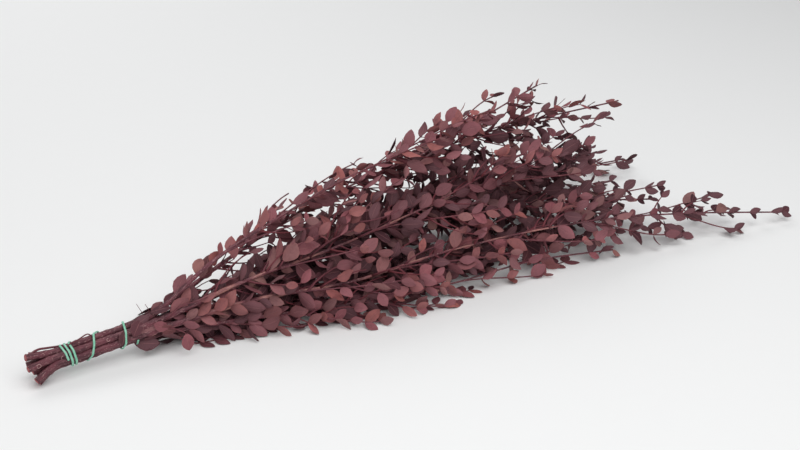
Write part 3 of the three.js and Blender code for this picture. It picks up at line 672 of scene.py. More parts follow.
def cuts(start, end, leaf):
    """Does each line from start to end pass through the matching blade, taken as a flat ellipse?"""
    before, after = dot(start - leaf["root"], leaf["face"]), dot(end - leaf["root"], leaf["face"])
    span = np.where(before == after, 1, before - after)
    place = start + (end - start) * column(before / span) - leaf["root"]
    u = dot(place, leaf["along"]) / leaf["length"]
    v = dot(place, np.cross(leaf["along"], leaf["face"])) / leaf["width"]
    inside = ((2 * u - 1) ** 2 + (2 * v) ** 2 < BLADE_CORE) & (u * leaf["length"] > BLADE_NECK)
    return (before * after < 0) & inside


def centre_of(leaf):
    """The middle of each blade."""
    return leaf["root"] + leaf["along"] * column(leaf["length"] / 2)


def pairs_that_cross(leaf):
    """The pairs of blades of which one's edge cuts the other."""
    centre, corners = centre_of(leaf), leaf_corners(leaf)
    reach = leaf["length"].max()
    found = []
    for first in range(0, len(centre), BATCH):
        away = np.linalg.norm(centre[first:first + BATCH, None] - centre[None], axis=2)
        a, b = np.nonzero(away < reach)
        a += first
        a, b = a[a != b], b[a != b]
        other = chosen(leaf, b)
        hit = np.zeros(len(a), bool)
        for k in range(len(LEAF_CORNERS)):
            hit |= cuts(corners[a, k], corners[a, (k + 1) % len(LEAF_CORNERS)], other)
        found.append(np.stack([a[hit], b[hit]], axis=1))
    return np.vstack(found)


def cut_by_wood(leaf, start, end):
    """Is each blade cut by any of the wood's straight pieces?"""
    reach = leaf["length"].max() + np.linalg.norm(end - start, axis=1).max() / 2
    centre, middle = centre_of(leaf), (start + end) / 2
    hit = np.zeros(len(centre), bool)
    for first in range(0, len(centre), BATCH):
        away = np.linalg.norm(centre[first:first + BATCH, None] - middle[None], axis=2)
        near, straight = np.nonzero(away < reach)
        near += first
        cut = cuts(start[straight], end[straight], chosen(leaf, near))
        hit[near[cut]] = True
    return hit


def seen_from_clear_side(centre, axis, x_range):
    """From places on an axis between two x to each centre: how far ahead it is on the clear side, and
    the way to it square to that."""
    places, _ = axis.at(np.arange(*[axis.run_at_x(x) for x in x_range], CLEAR_STEP))
    away = centre[:, None] - places
    ahead = dot(away, CLEAR_WAY)
    return ahead, away - CLEAR_WAY * column(ahead)


def hides_a_stem(leaf, stems, mains):
    """Does each leaf lie over one of the stems that are clear of leaves?"""
    hides = np.zeros(len(leaf["length"]), bool)
    for (name, *_), axis in zip(stems, mains):
        if name in CLEAR_STEMS:
            ahead, beside = seen_from_clear_side(centre_of(leaf), axis, CLEAR_STEMS[name])
            over = np.linalg.norm(beside, axis=-1) < CLEAR_ASIDE
            hides |= ((ahead > 0) & (ahead < CLEAR_AHEAD) & over).any(axis=1)
    return hides


def fills_the_gap(leaf, crest):
    """Does each leaf hang in the gap below the crest stem, apart from the few that may?"""
    _, beside = seen_from_clear_side(centre_of(leaf), crest, GAP_X)
    reach = np.linalg.norm(beside, axis=-1)
    nearest = reach.argmin(axis=1)
    rows = np.arange(len(nearest))
    reach, below = reach[rows, nearest], beside[rows, nearest, 2] < 0
    inside = below & (reach > GAP_BELOW[0]) & (reach < GAP_BELOW[1])
    inside &= (nearest > 0) & (nearest < beside.shape[1] - 1)
    return inside & (draw(leaf["seed"], GAP_KEY) > GAP_LEAVES)


# An axis with the number of its stem, its kind, and how far from its root its leaves begin.
Wood = namedtuple("Wood", "stem kind axis bare")


def all_wood(stems, skeletons):
    """All axes of the bunch: the main ones and the side branches, each with its twigs, and the stretch
    of each main one that carries a second set of leaves."""
    wood = []
    for index, stem in enumerate(stems):
        for order, axis in enumerate(skeleton(index, stem, CURVE_STEPS, BRANCH_STEPS)):
            kind, bare, first_bare = "branch", LEAF_PITCH, LEAF_PITCH
            if order == 0:
                kind, bare, first_bare = "stem", axis.run_at_x(SCENE_FOLIAGE_X), axis.run_at_x(FOLIAGE_X)
            wood.append(Wood(index, kind, axis, bare))
            if order == 0:
                runs = np.linspace(*[axis.run_at_x(x) for x in COVER_X], COVER_STEPS)
                cover = Axis(axis.at(runs)[0], *axis.radius_at(runs[[0, -1]]), stir(axis.seed, COVER_KEY))
                wood.append(Wood(index, "cover", cover, 0))
            for row in range(len(TWIG_ROWS)):
                start, margin = (bare, SCENE_MARGIN) if row else (first_bare, TWIG_MARGIN)
                twigs = twigs_on(axis, start, index, skeletons, row, margin)
                wood += [Wood(index, "twig", twig, LEAF_PITCH / 2) for twig in twigs]
    return wood


def all_leaves(wood, take):
    """One draw of all leaves, each with the number of its stem and of its spot."""
    leaves = []
    for number, (index, _, axis, bare) in enumerate(wood):
        leaf = leaves_on(axis, bare, take)
        leaf["stem"] = np.full(len(leaf["length"]), index)
        leaf["spot"] += number * SPOTS
        leaves.append(leaf)
    return gathered(leaves)


def clear_of_each_other(leaf, settled):
    """Which leaves stay so that no two blades cross: the settled first ones, and of the rest each that
    crosses none which stays before it."""
    rivals = [[] for _ in leaf["length"]]
    for a, b in pairs_that_cross(leaf):
        rivals[a].append(b)
        rivals[b].append(a)
    stays = np.arange(len(rivals)) < settled
    for i in range(settled, len(rivals)):
        stays[i] = not stays[rivals[i]].any()
    return stays


def grown(stems):
    """All wood of the bunch, and all leaves that fit among it."""
    coarse = [skeleton(i, stem, *SKELETON_STEPS) for i, stem in enumerate(stems)]
    wood = all_wood(stems, coarse)
    mains = [axis for _, kind, axis, _ in wood if kind == "stem"]
    starts = np.vstack([axis.points[:-1] for _, _, axis, _ in wood])
    ends = np.vstack([axis.points[1:] for _, _, axis, _ in wood])
    kept = []
    for take in range(LEAF_TAKES):
        leaf = all_leaves(wood, take)
        low = raised(leaf)
        corners = leaf_corners(leaf)[:, 1:]
        settled = np.concatenate([before["spot"] for before in kept]) if kept else []
        good = ~low & ~leaf["bare"] & ~np.isin(leaf["spot"], settled)
        good &= inside_box(corners).all(axis=1) & inside_outline(corners, -OUTLINE_SLACK).all(axis=1)
        good &= ~hides_a_stem(leaf, stems, mains) & ~fills_the_gap(leaf, mains[0])
        for index in range(len(stems)):
            own = np.nonzero(good & (leaf["stem"] == index))[0]
            good[own] = own_ground(corners[own], index, coarse, SCENE_MARGIN).all(axis=1)
        leaf = chosen(leaf, good)
        leaf = gathered([*kept, chosen(leaf, ~cut_by_wood(leaf, starts, ends))])
        kept = [chosen(leaf, clear_of_each_other(leaf, len(settled)))]
    return wood, kept[0]


# ---------------------------------------------------------------------------
# Surfaces
# ---------------------------------------------------------------------------


class Surface:
    """Points in millimetres from the cut ends, faces of four and of three corners, and numbers at
    each point that the finishes read."""

    def __init__(self, points, quads, triangles, fields):
        self.points, self.quads, self.triangles, self.fields = points, quads, triangles, fields


def joined(surfaces):
    """Several surfaces as one."""
    counts = np.cumsum([0] + [len(s.points) for s in surfaces])
    quads = np.vstack([s.quads + n for s, n in zip(surfaces, counts)])
    triangles = np.vstack([s.triangles + n for s, n in zip(surfaces, counts)])
    fields = {key: np.vstack([s.fields[key] for s in surfaces]) for key in surfaces[0].fields}
    return Surface(np.vstack([s.points for s in surfaces]), quads, triangles, fields)


def piece(name, surface, finish, nodes, rim=None):
    """The object of a surface. It rides on the bunch and stands for the given nodes of the frame.
    rim marks the points of a sharp rim."""
    mesh = bpy.data.meshes.new(name)
    corners = np.concatenate([surface.quads.ravel(), surface.triangles.ravel()])
    sizes = np.repeat([4, 3], [len(surface.quads), len(surface.triangles)])
    mesh.vertices.add(len(surface.points))
    mesh.vertices.foreach_set("co", ((surface.points - BUNCH_MIDDLE) * MM).astype(np.float32).ravel())
    mesh.loops.add(len(corners))
    mesh.loops.foreach_set("vertex_index", corners.astype(np.int32))
    mesh.polygons.add(len(sizes))
    mesh.polygons.foreach_set("loop_start", np.concatenate([[0], np.cumsum(sizes)[:-1]]).astype(np.int32))
    mesh.polygons.foreach_set("use_smooth", np.ones(len(sizes), bool))
    mesh.update(calc_edges=True)
    for key, values in surface.fields.items():
        field = mesh.attributes.new(key, "FLOAT_VECTOR", "POINT")
        field.data.foreach_set("vector", values.astype(np.float32).ravel())
    if rim is not None:
        ends = np.zeros(2 * len(mesh.edges), np.int32)
        mesh.edges.foreach_get("vertices", ends)
        sharp = mesh.attributes.new("sharp_edge", "BOOLEAN", "EDGE")
        sharp.data.foreach_set("value", rim[ends].reshape(-1, 2).all(axis=1))
    mesh.materials.append(finish)
    made = bpy.data.objects.new(name, mesh)
    bpy.context.scene.collection.objects.link(made)
    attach(made, "root")
    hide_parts(*nodes)


def repeated(faces, points_each, count):
    """The faces of one thing, for each of several like it whose points follow one another."""
    return (faces[None] + (points_each * np.arange(count))[:, None, None]).reshape(-1, faces.shape[1])


def rod_faces(rings, sides):
    """The faces of one rod, whose rings' points are followed by those that close its two ends."""
    ring, place = np.divmod(np.arange((rings - 1) * sides), sides)
    after = (place + 1) % sides
    here, further = ring * sides, (ring + 1) * sides
    quads = np.stack([here + place, here + after, further + after, further + place], axis=1)
    place = np.arange(sides)
    after = (place + 1) % sides
    last, ends = (rings - 1) * sides, rings * sides
    first_cap = np.stack([0 * place + ends, after, place], axis=1)
    last_cap = np.stack([0 * place + ends + 1, last + place, last + after], axis=1)
    return quads, np.vstack([first_cap, last_cap])


def rods(centres, radii, reference, sides, fields):
    """Rods along lines of centres (rods, rings, 3): at each ring a circle, its centre plus r (up cos a
    + side sin a), with r for every ring and side, closed by a point at each end. `fields` gives
    numbers for each ring, (rods, rings, 3), and "grain" is the place on a rod laid out straight."""
    count, rings = centres.shape[:2]
    along = unit(np.gradient(centres, axis=1))
    up = perpendicular(reference, along)
    side = np.cross(along, up)
    angle = 2 * np.pi * np.arange(sides) / sides
    radii = np.broadcast_to(radii, (count, rings, sides))
    spoke = up[:, :, None] * column(np.cos(angle)) + side[:, :, None] * column(np.sin(angle))
    wall = centres[:, :, None] + spoke * radii[..., None]
    steps = np.linalg.norm(np.diff(centres, axis=1), axis=2)
    runs = np.concatenate([np.zeros((count, 1)), np.cumsum(steps, axis=1)], axis=1)
    straight = np.stack([0 * runs, 0 * runs, runs], axis=-1)
    grain = np.stack([radii * np.cos(angle), radii * np.sin(angle), 0 * radii + runs[..., None]], axis=-1)

    def with_ends(round_rings, on_axis):
        """The numbers round all rings, and those on the axis at both ends."""
        round_rings = round_rings.reshape(count, -1, 3)
        return np.concatenate([round_rings, on_axis[:, :1], on_axis[:, -1:]], axis=1).reshape(-1, 3)

    made = {"grain": with_ends(grain, straight) * MM}
    for key, values in fields.items():
        made[key] = with_ends(np.broadcast_to(values[:, :, None], (count, rings, sides, 3)), values)
    quads, caps = [repeated(faces, rings * sides + 2, count) for faces in rod_faces(rings, sides)]
    return Surface(with_ends(wall, centres), quads, caps, made)


def blade_faces():
    """The faces of one blade, and which of its points are on its rim. Its root and its tip come first,
    then the upper sheet's other points, and then those of the under sheet that aren't on the rim."""
    stations, lines = len(LEAF_STATIONS) - 2, len(LEAF_ACROSS)
    upper = 2 + np.arange(stations * lines).reshape(stations, lines)
    under = upper.copy()
    under[:, 1:-1] = 2 + stations * lines + np.arange(stations * (lines - 2)).reshape(stations, -1)
    quads, triangles = [], []
    for sheet, flip in ((upper, 1), (under, -1)):
        cells = np.stack([sheet[:-1, :-1], sheet[:-1, 1:], sheet[1:, 1:], sheet[1:, :-1]], axis=-1)
        quads.append(cells.reshape(-1, 4)[:, ::flip])
        first = np.stack([0 * sheet[0, 1:], sheet[0, 1:], sheet[0, :-1]], axis=-1)
        last = np.stack([0 * sheet[-1, 1:] + 1, sheet[-1, :-1], sheet[-1, 1:]], axis=-1)
        triangles.append(np.vstack([first, last])[:, ::flip])
    rim = np.zeros(under.max() + 1, bool)
    rim[:2] = True
    rim[upper[:, [0, -1]]] = True
    return np.vstack(quads), np.vstack(triangles), rim


def blade_points(middle, upper, under):
    """The points of blades in the order of blade_faces, from grids (blades, stations, lines, 3)."""
    rib = len(LEAF_ACROSS) // 2
    upper, under = [grid.reshape(len(middle), -1, 3) for grid in (upper[:, 1:-1], under[:, 1:-1, 1:-1])]
    return np.concatenate([middle[:, :1, rib], middle[:, -1:, rib], upper, under], axis=1)


def blades(leaf):
    """Leaf blades, as closed shells. By the share u along the blade and v from -1 to 1 across it, the
    half width is sin(pi u^0.95)^0.76 of half the leaf's width. The blade arches along its length as
    sin(pi u), curls at its tip as u^3, folds along its midrib as |v|, cups as v^2, waves along its
    edges, leans to one side as sin(pi u) and twists with u. Each leaf has its own draw for each."""
    draws = [column(column(either_way(leaf["seed"], BLADE_KEY + k))) for k in range(7)]
    tip_curl, fold, cup, wave, phase, lean, twist = draws
    length, width, curl, loose = [column(column(leaf[key])) for key in ("length", "width", "curl", "loose")]
    u, v = np.meshgrid(LEAF_STATIONS, LEAF_ACROSS, indexing="ij")
    half = width / 2 * np.sin(np.pi * u**WIDEST) ** FULLNESS
    arch = LEAF_ARCH * curl * ARCH * np.sin(np.pi * u)
    lift = length * arch + loose * (
        length * TIP_CURL * tip_curl * u**3
        + half * (FOLD * (fold + FOLD_UP) * np.abs(v) + CUP * cup * v**2)
        + WAVE * length * wave * np.sin(2 * np.pi * (WAVES * u + phase)) * v)
    sideways = half * v + LEAN * length * lean * np.sin(np.pi * u)
    turn = (TWIST * twist * loose * u)[..., None]
    flat_across = np.cross(leaf["along"], leaf["face"])[:, None, None]
    flat_face = leaf["face"][:, None, None]
    across = flat_across * np.cos(turn) + flat_face * np.sin(turn)
    face = flat_face * np.cos(turn) - flat_across * np.sin(turn)
    middle = (leaf["root"][:, None, None] + leaf["along"][:, None, None] * (length * u)[..., None]
              + across * sideways[..., None] + face * lift[..., None])
    middle[..., 2] = np.maximum(middle[..., 2], LEAF_THICKNESS / 2)
    thick = face * LEAF_THICKNESS / 2 * (1 - np.abs(v[..., None]) ** EDGE_POWER)
    points = blade_points(middle, middle + thick, middle - thick)
    share = np.stack([u, v, 0 * u + 1], axis=-1)[None]
    below = share * [1, 1, -1]
    share[:, :, [0, -1], 2] = 0
    quads, triangles, rim = blade_faces()
    count, per_leaf = points.shape[:2]
    fields = {"blade": np.tile(blade_points(share, share, below)[0], (count, 1)),
              # The leaves' dye, with painted shade by place in its tone and rust.
              "dye": np.repeat(dyes_and_painted_shade(leaf), per_leaf, axis=0)}
    surface = Surface(points.reshape(-1, 3), repeated(quads, per_leaf, count),
                      repeated(triangles, per_leaf, count), fields)
    return surface, np.tile(rim, count)


def dyes_and_painted_shade(leaf):
    """Each leaf's tone, rust and age, from 0 to 1, drawn at random. The first two are then lowered by where
    it is,
    as painted shade: darker near the handle and towards the tips where it is not high up, and in the heart.
    """
    dye = np.stack([draw(leaf["seed"], DYE_KEY + k) for k in range(3)], axis=-1)
    centre = centre_of(leaf)
    # Painted shade: tone and rust are scaled down by place, darker near the handle, towards the tips and in
    # the heart of the bunch.
    far = np.maximum(np.interp(centre[:, 0], *PAINTED_SHADE_X), np.interp(centre[:, 2], *PAINTED_SHADE_Z))
    dye[:, :2] *= column(far * np.interp(depth_at(centre), *PAINTED_HEART_SHADE))
    return dye


# ---------------------------------------------------------------------------
# Finishes
# ---------------------------------------------------------------------------


class Value:
    """A number, colour or vector that a finish works out. Arithmetic on it adds Math nodes."""

    def __init__(self, finish, socket):
        self.finish, self.socket = finish, socket

    def _math(self, operation, *values):
        return self.finish.node("ShaderNodeMath", {"operation": operation}, dict(enumerate(values)))

    def __add__(self, other):
        return self._math("ADD", self, other)

    def __sub__(self, other):
        return self._math("SUBTRACT", self, other)

    def __rsub__(self, other):
        return self._math("SUBTRACT", other, self)

    def __mul__(self, other):
        return self._math("MULTIPLY", self, other)

    def __abs__(self):
        return self._math("ABSOLUTE", self)

    __radd__, __rmul__ = __add__, __mul__

    def sine(self):
        """The sine of a number in radians."""
        return self._math("SINE", self)

    def step(self, low, high):
        """0 up to low, 1 from high on, and smooth between them. low may be the higher of the two."""
        inputs = {"Value": self, "From Min": low, "From Max": high}
        return self.finish.node("ShaderNodeMapRange", {"interpolation_type": "SMOOTHSTEP"}, inputs)


class Finish:
    """A material in the making, with one Principled shader."""

    def __init__(self, name, **constants):
        self.material = bpy.data.materials.new(name)
        self.material.use_nodes = True
        self.nodes = self.material.node_tree.nodes
        self.links = self.material.node_tree.links
        self.shader = self.nodes["Principled BSDF"]
        for socket, value in constants.items():
            self.shader.inputs[socket.replace("_", " ")].default_value = value

    def node(self, kind, settings=None, inputs=None, output=0):
        """Adds a node: its settings first, then its sockets' values or links. Gives its output."""
        made = self.nodes.new(kind)
        for key, value in (settings or {}).items():
            setattr(made, key, value)
        for key, value in (inputs or {}).items():
            self.put(made.inputs[key], value)
        return Value(self, made.outputs[output])

    def put(self, socket, value):
        """Links a worked-out value to a socket, or sets a number, a colour or a vector there."""
        if isinstance(value, Value):
            self.links.new(value.socket, socket)
        elif hasattr(value, "__len__") and len(value) == 3 and socket.type == "RGBA":
            socket.default_value = (*value, 1)
        else:
            socket.default_value = value

    def field(self, name):
        """A vector that the mesh carries at its points, and its three numbers."""
        vector = self.node("ShaderNodeAttribute", {"attribute_name": name}, output="Vector")
        split = self.node("ShaderNodeSeparateXYZ", inputs={0: vector}).socket.node
        return vector, [Value(self, out) for out in split.outputs]

    def place(self):
        """The place on the object, in metres."""
        return self.node("ShaderNodeTexCoord", output="Object")

    def stretched(self, vector, scale):
        """A vector with each of its three numbers times that of the scale."""
        return self.node("ShaderNodeVectorMath", {"operation": "MULTIPLY"}, {0: vector, 1: scale})

    def noise(self, vector, scale, detail=2, roughness=0.5):
        """Noise from 0 to 1 at a vector, about as many swells to the metre as the scale says."""
        inputs = {"Vector": vector, "Scale": scale, "Detail": detail, "Roughness": roughness}
        return self.node("ShaderNodeTexNoise", inputs=inputs, output="Fac")

    def mix(self, share, first, second):
        """Between two colours, by a share from 0 to 1. A Mix node's colours are its inputs 6 and 7."""
        settings = {"data_type": "RGBA", "clamp_factor": True}
        return self.node("ShaderNodeMix", settings, {0: share, 6: first, 7: second}, output=2)

    def finished(self, colour, roughness, height=None, depth=0.0):
        """The material, with its colour, its roughness, and the height and depth of its relief."""
        self.put(self.shader.inputs["Base Color"], colour)
        self.put(self.shader.inputs["Roughness"], roughness)
        if height is not None:
            inputs = {"Height": height, "Distance": depth, "Strength": 1.0}
            self.put(self.shader.inputs["Normal"], self.node("ShaderNodeBump", inputs=inputs))
        return self.material


def dyed_leaf():
    """Matt, dyed blades: each with its own tone from plum to rust, darkened by place as painted shade,
    faintly mottled, with a midrib and side veins, a paler rim painted as light along its edges, and a duller
    underside."""
    f = Finish("dyed_leaf", IOR=1.45, Specular_IOR_Level=0.25)
    _, (u, v, side) = f.field("blade")
    _, (tone, rust, age) = f.field("dye")
    mottle = f.noise(f.place(), scale=260, detail=3, roughness=0.6)
    cloud = f.noise(f.place(), scale=26, detail=1)
    across = abs(v)
    # The tone and rust carry painted shade by place, so shaded leaves are nearer plum and less rusty.
    colour = f.mix(tone.step(0.05, 0.95), PLUM, BURGUNDY)
    colour = f.mix(rust.step(0.55, 1.0) * 0.7, colour, RUST)
    colour = f.mix(age.step(0.82, 1.0) * 0.6, colour, TAN)
    colour = f.mix(mottle.step(0.45, 0.75) * 0.35, colour, DARK_SPOT)
    colour = f.mix(cloud.step(0.35, 0.65) * 0.3, colour, PLUM)
    rib = across.step(0.09, 0.02)
    side_veins = (u * SIDE_VEINS - across * VEIN_SLANT) * (2 * math.pi)
    veins = side_veins.sine().step(0.75, 1.0) * across.step(0.98, 0.8)
    colour = f.mix(rib * 0.45 + veins * 0.1, colour, VEIN_AND_RIM_LIGHT)
    # Painted highlight: a paler rim along each blade's edge, where the edges catch the light.
    colour = f.mix(across.step(0.86, 1.0) * 0.3, colour, VEIN_AND_RIM_LIGHT)
    colour = f.mix(side.step(0.2, -0.6) * 0.35, colour, UNDERSIDE)
    height = mottle * 0.25 - rib * 0.9 - veins * 0.35
    return f.finished(colour, 0.58 + 0.2 * mottle, height, depth=0.00022)


def dyed_bark():
    """Bark with streaks along the stem, pale scuffs and scars, golden where it was left undyed, and
    reddish cut faces with rings."""
    f = Finish("dyed_bark", IOR=1.45, Specular_IOR_Level=0.35)
    grain, _ = f.field("grain")
    _, (dry, scar, heart) = f.field("skin")
    _, (twig, tone, _) = f.field("kind")
    streaks = f.noise(f.stretched(grain, (1, 1, 0.12)), scale=900, detail=3, roughness=0.6)
    patches = f.noise(f.stretched(grain, (1, 1, 0.35)), scale=160)
    flecks = f.noise(f.stretched(grain, (1, 1, 0.45)), scale=1150, detail=1)
    colour = f.mix(patches.step(0.36, 0.62), BARK_DARK, BARK)
    colour = f.mix(streaks.step(0.5, 0.66) * 0.6, colour, BARK_LIGHT)
    colour = f.mix(twig * 0.75, colour, f.mix(tone, TWIG_RED, BARK))
    gold = dry.step(0.25, 0.75) * (0.35 + 0.65 * streaks.step(0.42, 0.58))
    colour = f.mix(gold * 0.8, colour, GOLD)
    colour = f.mix(flecks.step(0.6, 0.7) * (1 - twig) * 0.45, colour, SCUFF)
    colour = f.mix(scar * 0.8, colour, SCUFF)
    section = f.stretched(grain, (1, 1, 0))
    radius = f.node("ShaderNodeVectorMath", {"operation": "LENGTH"}, {0: section}, "Value")
    rings = (radius * WOOD_RINGS + streaks * 2).sine().step(-0.2, 1.0)
    cut = f.mix(rings * 0.5, CUT_WOOD, CUT_RING)
    cut = f.mix(radius.step(0.0006, 0.0003), cut, PITH)
    colour = f.mix(heart, colour, cut)
    height = streaks * 0.7 + patches * 0.5 + rings * heart * 0.3
    return f.finished(colour, 0.5 + 0.25 * streaks, height, depth=0.0005)


def green_elastic():
    """Covered elastic: fine threads wound round a core, mint green, a little glossy."""
    f = Finish("green_elastic", IOR=1.5)
    grain, (a, b, run) = f.field("grain")
    turn = f.node("ShaderNodeMath", {"operation": "ARCTAN2"}, {0: b, 1: a})
    thread = (turn * 2 + run * THREADS).sine()
    soft = f.noise(grain, scale=300)
    colour = f.mix(soft.step(0.3, 0.7), MINT, MINT_LIGHT)
    colour = f.mix(thread.step(0.0, -1.0) * 0.35, colour, MINT_SHADE)
    return f.finished(colour, 0.42 + 0.1 * soft, thread, depth=0.00008)


def floor_paper():
    """Plain pale paper."""
    f = Finish("floor_paper", IOR=1.4)
    fibre = f.noise(f.place(), scale=40)
    return f.finished(f.mix(fibre * 0.3, PAPER, PAPER_SHADE), 0.85)


# ---------------------------------------------------------------------------
# The bunch
# ---------------------------------------------------------------------------


def bark_relief(axis, runs, sides, amount):
    """Radius factors round each ring: ridges that wander along the stem, 1 + amount times the mean of
    sin(k a + w run + phase + a slow wave) for three k."""
    angle = 2 * np.pi * np.arange(sides) / sides
    relief = 1.0
    for k, lobes in enumerate(RELIEF_LOBES):
        phase = 2 * np.pi * draw(axis.seed, RELIEF_KEY + k)
        drift = RELIEF_DRIFT * either_way(axis.seed, DRIFT_KEY + k)
        wander = (drift * runs + phase + RELIEF_WANDER * np.sin(RELIEF_PACE * runs + phase))[:, None]
        relief = relief + amount / len(RELIEF_LOBES) * np.sin(lobes * angle + wander)
    return relief


def rings_along(axis, stem):
    """Where along an axis its rings stand: closer together in a stem's handle and at a branch's root."""
    if stem:
        handle, last_step = axis.run_at_x(HANDLE_END), STEM_LAST_STEP
        close, wide = np.arange(0, handle, HANDLE_STEP), np.arange(handle, axis.length, STEM_STEP)
    else:
        last_step = BRANCH_LAST_STEP
        close, wide = ROOT_RINGS, np.arange(BRANCH_START, axis.length, BRANCH_STEP)
    runs = np.concatenate([close, wide])
    return np.append(runs[runs < axis.length - last_step], axis.length)


def limb(name, axis, kind):
    """A stem or a side branch: its radius tapers and swells at each pair of leaves, a branch flares at
    its root, and a stem's cut end is bevelled."""
    stem = kind == "stem"
    sides, relief = (STEM_SIDES, STEM_RELIEF) if stem else (BRANCH_SIDES, BRANCH_RELIEF)
    runs = rings_along(axis, stem)
    centres, _ = axis.at(runs)
    radius = axis.radius_at(runs) * (STEM_SWELL if stem else 1)
    node = (axis.length - LAST_PAIR - runs) % LEAF_PITCH
    node = np.minimum(node, LEAF_PITCH - node)
    radius = radius * (1 + NODE_SWELL * np.exp(-(node / NODE_REACH) ** 2))
    if not stem:
        radius = radius * (1 + FLARE * np.exp(-runs / BRANCH_FLARE_REACH))
    radii = radius[:, None] * bark_relief(axis, runs, sides, relief)
    skin = np.zeros((len(runs), 3))
    if stem:
        skin[:, 0] = dryness(name, centres)
        centres = np.vstack([centres[:1] - CUT_BEVEL * unit(centres[1] - centres[0]), centres])
        radii = np.vstack([CUT_SHARE * radii[:1], radii])
        skin = np.vstack([[0, 0, 1], skin])
    look = np.broadcast_to([TWIG_LOOK[kind], draw(axis.seed, TONE_KEY), 0], skin.shape)
    return rods(centres[None], radii[None], UP, sides, {"skin": skin[None], "kind": look[None]})


def dryness(name, centres):
    """How far the bark of a stem is left golden at each ring, in stretches."""
    x = centres[:, 0]
    if name not in GOLDEN_STEMS:
        return 0 * x
    stretches = np.sin(x / GOLDEN_STRETCH + 2 * np.sin(x / GOLDEN_DRIFT))
    return (GOLDEN_MEAN + GOLDEN_SWING * stretches) * np.interp(x, *GOLDEN_X)


def twig_wood(twigs):
    """Twigs, all with the same few rings: thin rods with a collar at the root."""
    centres = np.stack([twig.points for twig in twigs])
    share = np.linspace(0, 1, centres.shape[1])
    radii = between(TWIG_RADIUS, share) * (1 + FLARE * np.exp(-share * TWIG_FLARE_RATE))
    look = np.zeros(centres.shape)
    look[..., 0] = TWIG_LOOK["twig"]
    look[..., 1] = column([draw(twig.seed, TONE_KEY) for twig in twigs])
    fields = {"skin": np.zeros(centres.shape), "kind": look}
    return rods(centres, radii[None, :, None], UP, TWIG_SIDES, fields)


def scar_rings(name, axis):
    """Pale rings where branches were cut from a stem: rod i is a circle laid on the stem's surface,
    along it by R cos p and round it by R sin p."""
    mine = [scar[1:] for scar in SCARS if scar[0] == name]
    if not mine:
        return []
    x, degrees, reach = np.array(mine, float).T
    p = np.linspace(0, 2 * np.pi * (SCAR_STEPS + 1) / SCAR_STEPS, SCAR_STEPS + 2)
    run = np.array([axis.run_at_x(value) for value in x])[:, None] + reach[:, None] * np.cos(p)
    middle, along = axis.at(run)
    radius = axis.radius_at(run) * STEM_SWELL
    turn = np.radians(degrees)[:, None] + reach[:, None] * np.sin(p) / radius
    out = (perpendicular(ACROSS, along) * column(np.cos(turn))
           + perpendicular(UP, along) * column(np.sin(turn)))
    fields = {"skin": np.broadcast_to([0.0, 1.0, 0.0], out.shape), "kind": np.zeros(out.shape)}
    mean_out = out.mean(axis=1, keepdims=True)
    return [rods(middle + out * column(radius), SCAR_WIDTH, mean_out, SCAR_SIDES, fields)]


def stray_wood(radius, points):
    """A bare twig through given points, a little thinner at its end."""
    line = smooth_curve(np.array(points, float), STRAY_STEPS)[None]
    share = np.linspace(0, 1, line.shape[1])[None, :, None]
    look = np.broadcast_to([TWIG_LOOK["stray"], STRAY_TONE, 0], line.shape)
    fields = {"skin": np.zeros(line.shape), "kind": look}
    return rods(line, radius * (1 - STRAY_TAPER * share), ACROSS, STRAY_SIDES, fields)


def pressed_leaves():
    """Leaves laid one by one: each arches from its root to its tip, its middle as far out as they are."""
    roots, tips, width = [np.array(values, float) for values in zip(*PRESSED)]
    root, tip = [in_handle(x, out, turn) for x, turn, out in (roots.T, tips.T)]
    along, length = unit(tip - root), np.linalg.norm(tip - root, axis=1)
    middle = (root + tip) / 2
    out = middle - handle_at(middle[:, 0])
    lift = (roots[:, 2] + tips[:, 2]) / 2 - np.linalg.norm(out, axis=1)
    return {"root": root, "along": along, "face": perpendicular(out, along), "length": length,
            "width": width, "curl": lift / (ARCH * LEAF_ARCH * length),
            "loose": np.full(len(root), PRESSED_LOOSE),
            "seed": stir(SEED, PRESSED_KEY, np.arange(len(root)))}


def strand_line():
    """The strand's line: pulled tight round the ring of stems. Near a stem, at an angle a from its
    place and with r from its middle, it is R cos a + sqrt(r^2 - R^2 sin^2 a) from the handle's middle,
    and between two stems it runs straight, at (R cos(half a slot) + r) / cos(half a slot - a)."""
    count = int((STRAND_TURNS[-1, 0] - STRAND_TURNS[0, 0]) / SLOT * STRAND_STEPS)
    degrees = np.linspace(STRAND_TURNS[0, 0], STRAND_TURNS[-1, 0], count)
    x = np.interp(degrees, STRAND_TURNS[:, 0], STRAND_TURNS[:, 1])
    ring = np.interp(x, *np.array(RING_RADIUS, float).T)
    reach = max(radius for _, slot, radius, *_ in STEMS if slot is not None) * STEM_SWELL + STRAND_THICKNESS
    half_slot = math.radians(SLOT / 2)
    a = np.radians(np.abs((degrees - 90 + SLOT / 2) % SLOT - SLOT / 2))
    leaves_stem = np.arctan2(reach * math.sin(half_slot), ring + reach * math.cos(half_slot))
    round_stem = ring * np.cos(a) + np.sqrt(np.maximum(reach**2 - (ring * np.sin(a)) ** 2, 0))
    straight = (ring * math.cos(half_slot) + reach) / np.cos(half_slot - a)
    out = np.where(a < leaves_stem, round_stem, straight)
    return in_handle(x, out, degrees)


def strand_rods(line):
    """The strand: an ellipse in section, 1 / sqrt((cos a / width)^2 + (sin a / thickness)^2) out."""
    angle = 2 * np.pi * np.arange(STRAND_SIDES) / STRAND_SIDES
    out = 1 / np.hypot(np.cos(angle) / STRAND_WIDTH, np.sin(angle) / STRAND_THICKNESS)
    return rods(line[None], out, FORWARD, STRAND_SIDES, {})


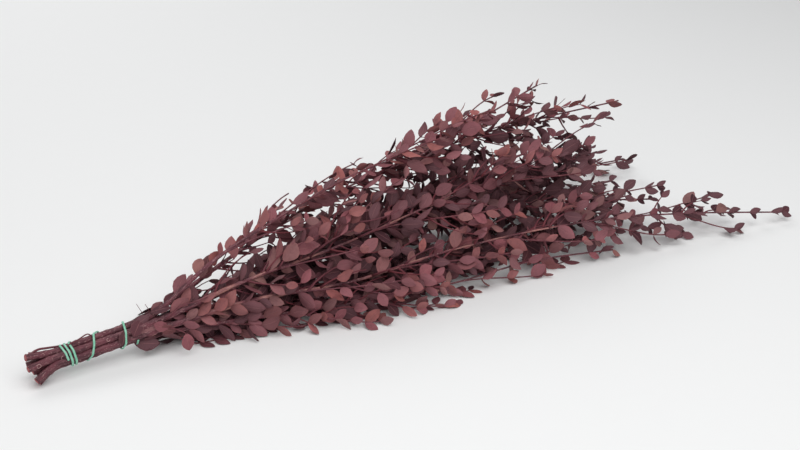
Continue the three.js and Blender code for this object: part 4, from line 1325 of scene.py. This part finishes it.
bark, leaf_finish, elastic = dyed_bark(), dyed_leaf(), green_elastic()
wood, leaves = grown(STEMS)
for index, (name, *_) in enumerate(STEMS):
    own = [(kind, axis) for stem, kind, axis, _ in wood if stem == index]
    parts = [limb(name, axis, kind) for kind, axis in own if kind in ("stem", "branch")]
    parts += scar_rings(name, own[0][1])
    own_leaves = chosen(leaves, leaves["stem"] == index)
    if index == 0:
        parts += [stray_wood(*stray) for stray in STRAYS]
        pressed = pressed_leaves()
        own_leaves = gathered([{key: own_leaves[key] for key in pressed}, pressed])
    parts.append(twig_wood([axis for kind, axis in own if kind == "twig"]))
    piece(f"{name}_wood", joined(parts), bark, [name])
    foliage, rim = blades(own_leaves)
    piece(f"{name}_leaves", foliage, leaf_finish, [name], rim)

piece("tie_strand_wound", strand_rods(strand_line()), elastic, ["tie_strand"])

# ---------------------------------------------------------------------------
# Floor, light and camera
# ---------------------------------------------------------------------------

floor = bpy.data.objects.new("floor", bpy.data.meshes.new("floor"))
corners = [(FLOOR_HALF * x, FLOOR_HALF * y, 0) for x, y in ((-1, -1), (1, -1), (1, 1), (-1, 1))]
floor.data.from_pydata(corners, [], [(0, 1, 2, 3)])
floor.data.materials.append(floor_paper())
bpy.context.scene.collection.objects.link(floor)


def aimed(name, data, place, aim):
    """Puts a lamp or a camera at a place, turned to an aim."""
    made = bpy.data.objects.new(name, data)
    made.location = place
    made.rotation_euler = (Vector(aim) - Vector(place)).to_track_quat("-Z", "Y").to_euler()
    bpy.context.scene.collection.objects.link(made)
    return made


def lamp(name, place, aim, size, power):
    """A soft square lamp of a given side, in metres, and power, in watts."""
    light = bpy.data.lights.new(name, "AREA")
    light.size, light.energy = size, power
    aimed(name, light, place, aim)


lamp("overhead_lamp", place=(-0.25, -0.8, 1.5), aim=(-0.02, 0.05, 0), size=2.2, power=29)
lamp("back_lamp", place=(-0.1, 2.0, 1.7), aim=(-0.05, 1.9, 0), size=1.8, power=22)

world = bpy.data.worlds.new("studio")
world.use_nodes = True
world.node_tree.nodes["Background"].inputs["Color"].default_value = STUDIO_COLOUR
world.node_tree.nodes["Background"].inputs["Strength"].default_value = STUDIO_STRENGTH
bpy.context.scene.world = world

camera = aimed("camera", bpy.data.cameras.new("camera"), CAMERA_PLACE, CAMERA_AIM)
camera.data.lens, camera.data.sensor_width = CAMERA_LENS, CAMERA_SENSOR
camera.data.clip_end = CAMERA_REACH
bpy.context.scene.camera = camera
bpy.context.scene.view_settings.view_transform = "Standard"
